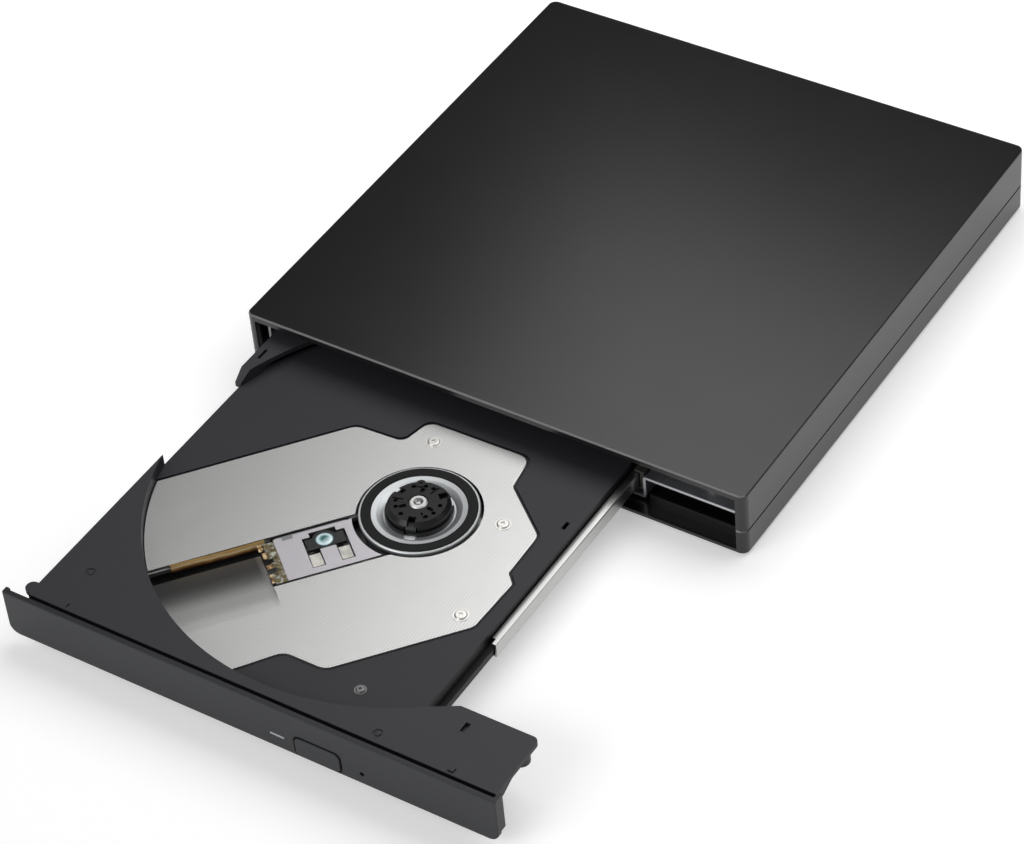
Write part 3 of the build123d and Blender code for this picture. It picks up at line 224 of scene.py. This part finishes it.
# heights in a finish are the frame's z in millimetres
plasticFinishes = {
    "caseBlack": {
        "nodes": ["upper_shell", "lower_shell"], "color": (0.008, 0.008, 0.0085), "rough": 0.25,
        # the edge colour is a painted highlight on the front top edge of the case
        "edgeHighlightColor": (0.16, 0.16, 0.165), "edgeLow": 0.12, "edgeHigh": 0.3,
        "mottle": 0.02, "mottleScale": 60.0, "grain": 0.3, "grainScale": 2600.0,
    },
    "trayBlack": {
        "nodes": ["tray_frame"], "color": (0.033, 0.032, 0.038), "rough": 0.52, "gloss": 0.4,
        # painted shade: a darker recess, darker walls and near black below the floor
        "recessShadeColor": (0.026, 0.025, 0.03), "rimLow": 10.0, "rimHigh": 10.2,
        "deepShadeColor": (0.004, 0.004, 0.005), "deepLow": 9.2, "deepHigh": 9.6,
        "wallShadeTone": 0.45, "wallLevel": 0.15, "flatLevel": 0.7,
        "mottle": 0.03, "mottleScale": 80.0, "grain": 0.4, "grainScale": 2600.0,
    },
    "bezelBlack": {
        "nodes": ["front_bezel"], "color": (0.014, 0.015, 0.018), "rough": 0.5,
        "mottle": 0.02, "mottleScale": 70.0, "grain": 0.4, "grainScale": 2800.0,
    },
    "buttonBlack": {
        "nodes": ["eject_button"], "color": (0.014, 0.015, 0.018), "rough": 0.48,
        "grain": 0.3, "grainScale": 2800.0,
    },
    "guideBlack": {
        "nodes": ["left_guide", "right_guide", "plate_posts"], "color": (0.03, 0.028, 0.024), "rough": 0.5,
        "grain": 0.3, "grainScale": 1500.0,
    },
    "hubBlack": {
        "nodes": ["hub", "hub_claw_1", "hub_claw_2", "hub_claw_3"], "color": (0.006, 0.006, 0.007),
        "rough": 0.34, "gloss": 0.3, "grain": 0.2, "grainScale": 1200.0,
    },
    "connectorBlack": {
        "nodes": ["drive_connector", "board_connector", "dc_jack", "eject_switch", "latch_lever"],
        "color": (0.02, 0.02, 0.02), "rough": 0.45, "grain": 0.3, "grainScale": 1600.0,
    },
    "chipBlack": {
        "nodes": ["bridge_parts", "main_chips"], "color": (0.015, 0.015, 0.016), "rough": 0.5,
        "grain": 0.4, "grainScale": 2000.0,
    },
    "clearWindow": {
        "nodes": ["light_pipe"], "color": (0.55, 0.57, 0.58), "rough": 0.3, "clear": 0.2,
        "mottle": 0.05, "mottleScale": 600.0,
    },
}

rubberFinishes = {
    "feetBlack": {
        "nodes": ["rubber_feet"], "color": (0.02, 0.02, 0.02), "rough": 0.8,
        "grain": 0.4, "grainScale": 1500.0,
    },
    "gripRubber": {
        "nodes": ["rubber_ring"], "color": (0.007, 0.0075, 0.0075), "rough": 0.6, "gloss": 0.25,
        "grain": 0.5, "grainScale": 2200.0,
    },
    "bushRubber": {
        "nodes": ["damper_bushes"], "color": (0.05, 0.04, 0.04), "rough": 0.7,
        "grain": 0.3, "grainScale": 1500.0,
    },
    "bumperRubber": {
        "nodes": ["side_bumper"], "color": (0.008, 0.008, 0.008), "rough": 0.5,
        "grain": 0.3, "grainScale": 1500.0,
    },
}

metalFinishes = {
    "brightSteel": {
        "nodes": ["left_rail", "right_rail", "guide_rods", "usb_socket"], "color": (0.5, 0.5, 0.49),
        "rough": 0.3, "metal": 1.0, "mottle": 0.05, "mottleScale": 260.0, "mottleStretch": (6, 0.5, 6),
    },
    "panSteel": {
        "nodes": ["chassis_pan", "chassis_cover"], "color": (0.66, 0.67, 0.7), "rough": 0.42, "metal": 1.0,
        "mottle": 0.06, "mottleScale": 120.0, "grain": 0.2, "grainScale": 900.0,
    },
    "baseSteel": {
        "nodes": ["base_plate"], "color": (0.3, 0.3, 0.31), "rough": 0.5, "metal": 1.0,
        "mottle": 0.06, "mottleScale": 120.0,
    },
    "frameSteel": {
        "nodes": ["traverse_frame", "sled_motor", "motor_base", "latch_solenoid"], "color": (0.5, 0.5, 0.5),
        "rough": 0.38, "metal": 1.0, "mottle": 0.05, "mottleScale": 150.0,
    },
    "dishSteel": {
        "nodes": ["turntable"], "color": (0.62, 0.64, 0.65), "rough": 0.5, "metal": 1.0,
        "mottle": 0.05, "mottleScale": 200.0,
    },
    "screwSteel": {
        "nodes": ["chassis_screws", "base_screws", "plate_screws", "latch_pin", "lead_screw"],
        "color": (0.72, 0.71, 0.68), "rough": 0.32, "metal": 1.0, "grain": 0.2, "grainScale": 1500.0,
    },
    "screwDull": {
        "nodes": ["tray_screw"], "color": (0.2, 0.2, 0.2), "rough": 0.34, "metal": 0.9,
        "grain": 0.2, "grainScale": 1500.0,
    },
    "screwBlack": {
        "nodes": ["shell_screws"], "color": (0.03, 0.03, 0.03), "rough": 0.4, "metal": 0.6,
        "grain": 0.2, "grainScale": 1500.0,
    },
    "copperWound": {
        "nodes": ["motor_stator"], "color": (0.55, 0.22, 0.08), "rough": 0.3, "metal": 0.9,
        "grain": 0.6, "grainScale": 2400.0, "grainStretch": (1, 1, 6),
    },
}

pickupFinishes = {
    "pickupMetal": {
        "nodes": ["pickup_block"], "color": (0.3, 0.3, 0.31), "rough": 0.45, "metal": 1.0,
        "grain": 0.4, "grainScale": 1800.0,
    },
    "pickupSheet": {
        "nodes": ["pickup_cover"], "color": (0.6, 0.58, 0.61), "rough": 0.42, "metal": 0.85,
        "mottle": 0.05, "mottleScale": 200.0,
    },
    "pickupPale": {
        "nodes": ["pickup_magnets"], "color": (0.62, 0.6, 0.55), "rough": 0.35, "toneScale": 600.0,
        "tones": ((0.35, (0.5, 0.49, 0.45)), (0.6, (0.7, 0.68, 0.62))),
    },
    "pickupClear": {
        "nodes": ["pickup_tail"], "color": (0.2, 0.2, 0.15), "rough": 0.2, "coat": 0.8, "coatRough": 0.05,
        "toneScale": 900.0, "toneDetail": 3.0,
        "tones": ((0.36, (0.05, 0.045, 0.03)), (0.46, (0.2, 0.14, 0.05)), (0.54, (0.16, 0.16, 0.13)),
                  (0.66, (0.5, 0.5, 0.42))),
    },
    "lensHolder": {
        "nodes": ["lens_holder"], "color": (0.012, 0.012, 0.013), "rough": 0.3,
        "grain": 0.6, "grainScale": 1400.0, "grainDepth": 0.06,
    },
    "flexGold": {
        "nodes": ["flex_cable"], "color": (0.5, 0.3, 0.1), "rough": 0.35, "gloss": 0.6,
        "toneScale": 900.0, "toneStretch": (1, 0.05, 1),
        "tones": ((0.4, (0.34, 0.17, 0.05)), (0.6, (0.58, 0.36, 0.12))),
    },
}

for finishes in (plasticFinishes, rubberFinishes, metalFinishes, pickupFinishes):
    paintFinishes(finishes)
print("plain finishes on")


# a painted shadow line round the eject button
buttonGapShadow = {"reach": 0.55, "corner": 0.9, "soft": 0.1, "color": (0.002, 0.002, 0.002)}


# painted shadow line on the bezel round the button
def addButtonGapShadow(material, bezelColor, settings):
    tree = material.node_tree
    lowest, highest = (Vector(corner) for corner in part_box("eject_button"))
    centre = (lowest + highest) / 2
    half = (highest - lowest) / 2
    corner = settings["corner"] * mm
    link = newNode(tree, "ShaderNodeTexCoord").outputs["Object"]
    steps = (("SUBTRACT", (centre.x, 0, centre.z)), ("MULTIPLY", (1, 0, 1)), ("ABSOLUTE", None),
             ("SUBTRACT", (half.x - corner, 0, half.z - corner)), ("MAXIMUM", (0, 0, 0)), ("LENGTH", None))
    for operation, value in steps:
        node = newNode(tree, "ShaderNodeVectorMath", operation=operation)
        tree.links.new(link, node.inputs[0])
        if value is not None:
            node.inputs[1].default_value = value
        link = node.outputs["Value"] if operation == "LENGTH" else node.outputs["Vector"]
    edge = corner + settings["reach"] * mm
    soft = settings["soft"] * mm
    away = mapRange(tree, link, edge - soft, edge + soft)
    tree.links.new(mixColors(tree, away, settings["color"], bezelColor),
                   tree.nodes["Principled BSDF"].inputs["Base Color"])


addButtonGapShadow(bpy.data.materials["bezelBlack"], plasticFinishes["bezelBlack"]["color"], buttonGapShadow)


boardSettings = {
    "nodes": ["bridge_board", "main_board", "tray_board"], "color": (0.012, 0.11, 0.045), "rough": 0.35,
    "coat": 0.4, "otherTone": 0.8, "traceColor": (0.03, 0.2, 0.08), "traceScale": 300.0, "traceWidth": 0.06,
}


def makeBoardSurface(settings):
    material = makeSurface("boardGreen", settings)
    tree = material.node_tree
    brick = newNode(tree, "ShaderNodeTexBrick")
    brick.inputs["Color1"].default_value = (*settings["color"], 1)
    brick.inputs["Color2"].default_value = (*(settings["otherTone"] * v for v in settings["color"]), 1)
    brick.inputs["Mortar"].default_value = (*settings["traceColor"], 1)
    brick.inputs["Scale"].default_value = settings["traceScale"]
    brick.inputs["Mortar Size"].default_value = settings["traceWidth"]
    tree.links.new(objectCoordinates(tree), brick.inputs["Vector"])
    tree.links.new(brick.outputs["Color"], tree.nodes["Principled BSDF"].inputs["Base Color"])
    return material


boardGreen = makeBoardSurface(boardSettings)
for boardName in boardSettings["nodes"]:
    paint(nodes[boardName], boardGreen)


plateSettings = {
    "color": (0.7, 0.7, 0.69), "lowColor": (0.56, 0.56, 0.555), "rough": 0.36, "metal": 0.92,
    "weave": 0.6, "weaveDepth": 0.03, "weaveScale": 470.0, "weaveTurn": math.radians(-4.0),
    "ribShares": {"X": 0.7, "Y": 0.3},
    "patchScale": 260.0, "patchDetail": 3.0, "patchLow": 0.35, "patchHigh": 0.65, "patchLeast": 0.25,
    # painted shade on the rolled shelf beside the slot, darkest where it turns down, with a painted lighter
    # band on the flat beyond it
    "shelfStart": 36.8, "shelfFull": 38.5,
    "shelfShadeTones": ((-3.1, 1.0), (-2.9, 0.24), (2.0, 0.24), (4.0, 0.36), (6.0, 0.58), (8.0, 1.0),
                   (10.0, 1.3), (15.0, 1.3), (17.5, 1.0)),
}


# pressed ribs both ways, stronger in some patches than in others
def plateWeave(tree, settings):
    vector = objectCoordinates(tree, (1, 1, 1), settings["weaveTurn"])
    shares = []
    for direction, share in settings["ribShares"].items():
        wave = newNode(tree, "ShaderNodeTexWave", bands_direction=direction, wave_profile="SIN")
        wave.inputs["Scale"].default_value = settings["weaveScale"]
        tree.links.new(vector, wave.inputs["Vector"])
        shares.append(mathNode(tree, "MULTIPLY", wave.outputs["Fac"], share))
    ribs = mathNode(tree, "ADD", *shares)
    patches = noiseOf(tree, vector, settings["patchScale"], settings["patchDetail"])
    strength = mapRange(tree, patches, settings["patchLow"], settings["patchHigh"], settings["patchLeast"])
    centred = mathNode(tree, "MULTIPLY", mathNode(tree, "SUBTRACT", ribs, 0.5), strength)
    return mathNode(tree, "ADD", centred, 0.5)


def makePlateSurface(settings):
    material = makeSurface("plateSilver", settings)
    tree = material.node_tree
    shader = tree.nodes["Principled BSDF"]
    weave = plateWeave(tree, settings)
    addBump(tree, shader, weave, settings["weave"], settings["weaveDepth"] * mm)
    silver = colorRamp(tree, weave, ((0.0, settings["lowColor"]), (1.0, settings["color"])))
    # painted shade and a painted lighter band across the shelf, faded in along the slot
    slot = slotCoordinates(tree)
    low, high = (settings["shelfShadeTones"][i][0] * mm for i in (0, -1))
    across = mapRange(tree, slot["Y"], low, high)
    stops = [((n * mm - low) / (high - low), (tone, tone, tone)) for n, tone in settings["shelfShadeTones"]]
    shade = newNode(tree, "ShaderNodeMix", data_type="RGBA", blend_type="MULTIPLY")
    along = mapRange(tree, slot["X"], settings["shelfStart"] * mm, settings["shelfFull"] * mm)
    tree.links.new(along, shade.inputs["Factor"])
    tree.links.new(silver, shade.inputs[6])
    tree.links.new(colorRamp(tree, across, stops), shade.inputs[7])
    tree.links.new(shade.outputs[2], shader.inputs["Base Color"])
    return material


paint(nodes["cover_plate"], makePlateSurface(plateSettings))


# rings run from the middle, 0, to the rim, 1
lensSettings = {
    "color": (0.3, 0.5, 0.55), "rough": 0.06, "coat": 1.0, "coatRough": 0.03,
    "rings": ((0.0, (0.05, 0.1, 0.1)), (0.35, (0.1, 0.24, 0.25)), (0.5, (0.3, 0.5, 0.52)),
              (0.66, (0.75, 0.9, 0.92)), (0.85, (0.7, 0.88, 0.9)), (0.95, (0.12, 0.2, 0.22))),
}

capSettings = {
    "color": (0.6, 0.6, 0.6), "rough": 0.42, "metal": 0.9, "grain": 0.3, "grainScale": 1600.0,
    "rings": ((0.0, (0.16, 0.16, 0.155)), (0.3, (0.3, 0.3, 0.29)), (0.5, (0.2, 0.2, 0.2)),
              (0.6, (0.68, 0.68, 0.67)), (1.0, (0.7, 0.7, 0.69))),
}


def makeRingSurface(name, nodeName, settings):
    material = makeSurface(name, settings)
    tree = material.node_tree
    lowest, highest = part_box(nodeName)
    centre = (Vector(lowest) + Vector(highest)) / 2
    reach = (highest[0] - lowest[0]) / 2
    source = newNode(tree, "ShaderNodeTexCoord")
    mapping = newNode(tree, "ShaderNodeMapping", vector_type="TEXTURE")
    mapping.inputs["Location"].default_value = centre
    mapping.inputs["Scale"].default_value = (reach, reach, 1)
    tree.links.new(source.outputs["Object"], mapping.inputs["Vector"])
    flat = newNode(tree, "ShaderNodeVectorMath", operation="MULTIPLY")
    flat.inputs[1].default_value = (1, 1, 0)
    tree.links.new(mapping.outputs["Vector"], flat.inputs[0])
    length = newNode(tree, "ShaderNodeVectorMath", operation="LENGTH")
    tree.links.new(flat.outputs["Vector"], length.inputs[0])
    tree.links.new(colorRamp(tree, length.outputs["Value"], settings["rings"]),
                   tree.nodes["Principled BSDF"].inputs["Base Color"])
    return material


paint(nodes["objective_lens"], makeRingSurface("lensGlass", "objective_lens", lensSettings))
paint(nodes["hub_cap"], makeRingSurface("capSteel", "hub_cap", capSettings))
print("materials", len(bpy.data.materials))


# u runs out along the slot from the spindle, n across it, both in millimetres
def slotPoint(u, n, z):
    return Vector((discAxis.x + (u * math.cos(slotTurn) - n * math.sin(slotTurn)) * mm,
                   discAxis.y + (u * math.sin(slotTurn) + n * math.cos(slotTurn)) * mm, z * mm))


def finishPiece(shape, name, body, material):
    bmesh.ops.recalc_face_normals(shape, faces=shape.faces)
    mesh = bpy.data.meshes.new(name)
    shape.to_mesh(mesh)
    shape.free()
    piece = bpy.data.objects.new(name, mesh)
    bpy.context.scene.collection.objects.link(piece)
    mesh.materials.append(material)
    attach(piece, body)
    return piece


ribbonSettings = {
    "color": (0.5, 0.3, 0.1), "rough": 0.3, "gloss": 0.6, "low": 7.4, "high": 9.75, "sheet": 0.12,
    "route": ((57.0, -4.82), (52.0, -4.7), (46.0, -4.55), (40.0, -4.55), (35.2, -4.65)),
    "cuts": 5, "smoothRounds": 12,
    "streak": 0.12, "streakScale": 180.0, "streakLow": 0.3, "streakHigh": 0.7,
    # colours by height: painted shade at the foot of the ribbon and a painted cream highlight along it
    "shadeAndHighlightBands": ((0.0, (0.04, 0.018, 0.008)), (0.2, (0.2, 0.09, 0.03)), (0.4, (0.6, 0.34, 0.11)),
              (0.58, (0.95, 0.8, 0.52)), (0.75, (0.8, 0.52, 0.2)), (1.0, (0.6, 0.36, 0.12))),
}


def makeRibbonSurface(settings):
    material = makeSurface("ribbonGold", settings)
    tree = material.node_tree
    place = newNode(tree, "ShaderNodeTexCoord").outputs["Object"]
    height = mapRange(tree, axesOf(tree, place)["Z"], settings["low"] * mm, settings["high"] * mm)
    noise = noiseOf(tree, place, settings["streakScale"])
    wobble = mapRange(tree, noise, settings["streakLow"], settings["streakHigh"],
                      -settings["streak"], settings["streak"])
    # painted shade low on the ribbon and a painted highlight band higher up
    tree.links.new(colorRamp(tree, mathNode(tree, "ADD", height, wobble), settings["shadeAndHighlightBands"]),
                   tree.nodes["Principled BSDF"].inputs["Base Color"])
    return material


def makeRibbon(settings):
    shape = bmesh.new()
    points = [shape.verts.new(slotPoint(u, n, settings["low"])) for u, n in settings["route"]]
    edges = [shape.edges.new(pair) for pair in zip(points, points[1:])]
    bmesh.ops.subdivide_edges(shape, edges=edges, cuts=settings["cuts"])
    for _ in range(settings["smoothRounds"]):
        inner = [v for v in shape.verts if len(v.link_edges) == 2]
        bmesh.ops.smooth_vert(shape, verts=inner, factor=0.5, use_axis_x=True, use_axis_y=True,
                              use_axis_z=True)
    grown = bmesh.ops.extrude_edge_only(shape, edges=shape.edges[:])
    raised = [item for item in grown["geom"] if isinstance(item, bmesh.types.BMVert)]
    bmesh.ops.translate(shape, verts=raised, vec=(0, 0, (settings["high"] - settings["low"]) * mm))
    bmesh.ops.solidify(shape, geom=shape.faces[:], thickness=settings["sheet"] * mm)
    return finishPiece(shape, "pickup_ribbon", "tray", makeRibbonSurface(settings))


ribbon = makeRibbon(ribbonSettings)
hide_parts("pickup_flex")


leadSettings = {
    "color": (0.3, 0.15, 0.05), "rough": 0.3, "coat": 0.6, "toneScale": 900.0,
    "tones": ((0.35, (0.06, 0.03, 0.012)), (0.5, (0.3, 0.16, 0.05)), (0.62, (0.7, 0.55, 0.32))),
    # start and end along the slot, rear and front across it
    "fingers": ((36.2, 37.3, -3.5, -1.2), (35.8, 36.9, -0.6, 1.4), (35.6, 36.9, 3.4, 4.7),
                (36.3, 37.0, 6.6, 9.4)),
    "low": 9.62, "high": 9.86, "soften": 0.08,
}


def makeLeads(settings):
    shape = bmesh.new()
    for start, end, rear, front in settings["fingers"]:
        block = bmesh.ops.create_cube(shape, size=1.0)["verts"]
        size = Vector((end - start, front - rear, settings["high"] - settings["low"])) * mm
        bmesh.ops.scale(shape, verts=block, vec=size)
        bmesh.ops.rotate(shape, verts=block, matrix=Matrix.Rotation(slotTurn, 3, "Z"))
        centre = slotPoint((start + end) / 2, (rear + front) / 2, (settings["low"] + settings["high"]) / 2)
        bmesh.ops.translate(shape, verts=block, vec=centre)
    bmesh.ops.bevel(shape, geom=shape.edges[:], offset=settings["soften"] * mm, affect="EDGES", segments=2,
                    profile=0.5, material=-1)
    return finishPiece(shape, "pickup_leads", "pickup", makeSurface("leadAmber", settings))


makeLeads(leadSettings)
print("new pieces made")


# the floor touches the feet
stageSettings = {"floorZ": -0.0012, "floorSize": 6.0, "floorColor": (0.82, 0.82, 0.82), "floorLift": 0.36}


# rays that show the background: those of the camera, of gloss and of clear pieces
def backgroundRays(tree):
    rays = newNode(tree, "ShaderNodeLightPath").outputs
    seen = mathNode(tree, "MAXIMUM", rays["Is Camera Ray"], rays["Is Glossy Ray"])
    return mathNode(tree, "MAXIMUM", seen, rays["Is Transmission Ray"])


def makeFloorSurface(settings):
    material = bpy.data.materials.new("floorWhite")
    material.use_nodes = True
    tree = material.node_tree
    tree.nodes.clear()
    output = newNode(tree, "ShaderNodeOutputMaterial")
    add = newNode(tree, "ShaderNodeAddShader")
    matte = newNode(tree, "ShaderNodeBsdfDiffuse")
    matte.inputs["Color"].default_value = (*settings["floorColor"], 1)
    # the camera and the gloss see the paper brighter than it lights the object
    lift = newNode(tree, "ShaderNodeEmission")
    tree.links.new(mathNode(tree, "MULTIPLY", backgroundRays(tree), settings["floorLift"]),
                   lift.inputs["Strength"])
    tree.links.new(matte.outputs["BSDF"], add.inputs[0])
    tree.links.new(lift.outputs["Emission"], add.inputs[1])
    tree.links.new(add.outputs["Shader"], output.inputs["Surface"])
    return material


def makeStage(settings):
    shape = bmesh.new()
    bmesh.ops.create_grid(shape, x_segments=1, y_segments=1, size=settings["floorSize"] / 2)
    bmesh.ops.translate(shape, verts=shape.verts[:], vec=(0, 0, settings["floorZ"]))
    mesh = bpy.data.meshes.new("floor")
    shape.to_mesh(mesh)
    shape.free()
    floor = bpy.data.objects.new("floor", mesh)
    bpy.context.scene.collection.objects.link(floor)
    mesh.materials.append(makeFloorSurface(settings))


worldSettings = {
    "light": 0.28, "horizon": 0.02, "ceiling": 0.2,
    "frontReach": -0.25, "backReach": 0.1, "frontTone": 0.5, "backTone": 0.05,
}


# the paper sweep is white up to a low height, and the room above it is dim
def makeWorld(settings):
    world = bpy.data.worlds.new("studio")
    bpy.context.scene.world = world
    world.use_nodes = True
    tree = world.node_tree
    tree.nodes.clear()
    output = newNode(tree, "ShaderNodeOutputWorld")
    background = newNode(tree, "ShaderNodeBackground")
    background.inputs["Color"].default_value = (1, 1, 1, 1)
    seen = backgroundRays(tree)
    camera = newNode(tree, "ShaderNodeLightPath").outputs["Is Camera Ray"]
    direction = axesOf(tree, newNode(tree, "ShaderNodeTexCoord").outputs["Generated"])
    ceiling = mapRange(tree, direction["Y"], settings["frontReach"], settings["backReach"],
                       settings["frontTone"], settings["backTone"])
    low = mapRange(tree, direction["Z"], settings["horizon"], settings["ceiling"], 1.0, 0.0)
    white = mathNode(tree, "MAXIMUM", camera, mathNode(tree, "MAXIMUM", low, ceiling))
    unseen = mathNode(tree, "SUBTRACT", 1.0, seen)
    strength = mathNode(tree, "ADD", mathNode(tree, "MULTIPLY", white, seen),
                        mathNode(tree, "MULTIPLY", unseen, settings["light"]))
    tree.links.new(strength, background.inputs["Strength"])
    tree.links.new(background.outputs["Background"], output.inputs["Surface"])


lampSettings = {
    "windowSoft": {"place": (0.048, 0.153, 0.431), "target": (0.03, -0.06, 0.018), "size": (0.61, 0.375),
                   "power": 1.5},
    "frontSoft": {"place": (-0.35, -1.2, 0.8), "target": (0.0, -0.05, 0.0), "size": (0.8, 0.6), "power": 6.0},
    "rightSoft": {"place": (1.1, 0.3, 0.7), "target": (0.0, 0.0, 0.0), "size": (0.6, 0.6), "power": 0.8},
}


def makeLight(name, settings):
    data = bpy.data.lights.new(name, "AREA")
    data.shape = "RECTANGLE"
    data.size, data.size_y = settings["size"]
    data.energy = settings["power"]
    light = bpy.data.objects.new(name, data)
    direction = Vector(settings["target"]) - Vector(settings["place"])
    light.rotation_euler = direction.to_track_quat("-Z", "Y").to_euler()
    light.location = settings["place"]
    bpy.context.scene.collection.objects.link(light)


cameraSettings = {
    "azimuth": 35.96013, "elevation": 42.68714, "roll": -5.66204, "lens": 125.998, "sensor": 36.0,
    "clipStart": 0.01, "place": (0.3607304, -0.5574322, 0.5703313),
}


def makeCamera(settings):
    azimuth, elevation, roll = (math.radians(settings[k]) for k in ("azimuth", "elevation", "roll"))
    back = Vector((math.sin(azimuth) * math.cos(elevation),
                   -math.cos(azimuth) * math.cos(elevation),
                   math.sin(elevation)))
    right = Vector((math.cos(azimuth), math.sin(azimuth), 0))
    up = back.cross(right)
    turnedRight = math.cos(roll) * right + math.sin(roll) * up
    turnedUp = -math.sin(roll) * right + math.cos(roll) * up
    data = bpy.data.cameras.new("camera")
    data.sensor_width = settings["sensor"]
    data.lens = settings["lens"]
    data.dof.use_dof = False
    data.clip_start = settings["clipStart"]
    camera = bpy.data.objects.new("camera", data)
    rotation = Matrix((turnedRight, turnedUp, back)).transposed()
    camera.matrix_world = Matrix.Translation(settings["place"]) @ rotation.to_4x4()
    bpy.context.scene.collection.objects.link(camera)
    bpy.context.scene.camera = camera


makeStage(stageSettings)
makeWorld(worldSettings)
for lampName, lamp in lampSettings.items():
    makeLight(lampName, lamp)
makeCamera(cameraSettings)
bpy.context.scene.view_settings.view_transform = "Standard"
print("stage, lamps and camera set")
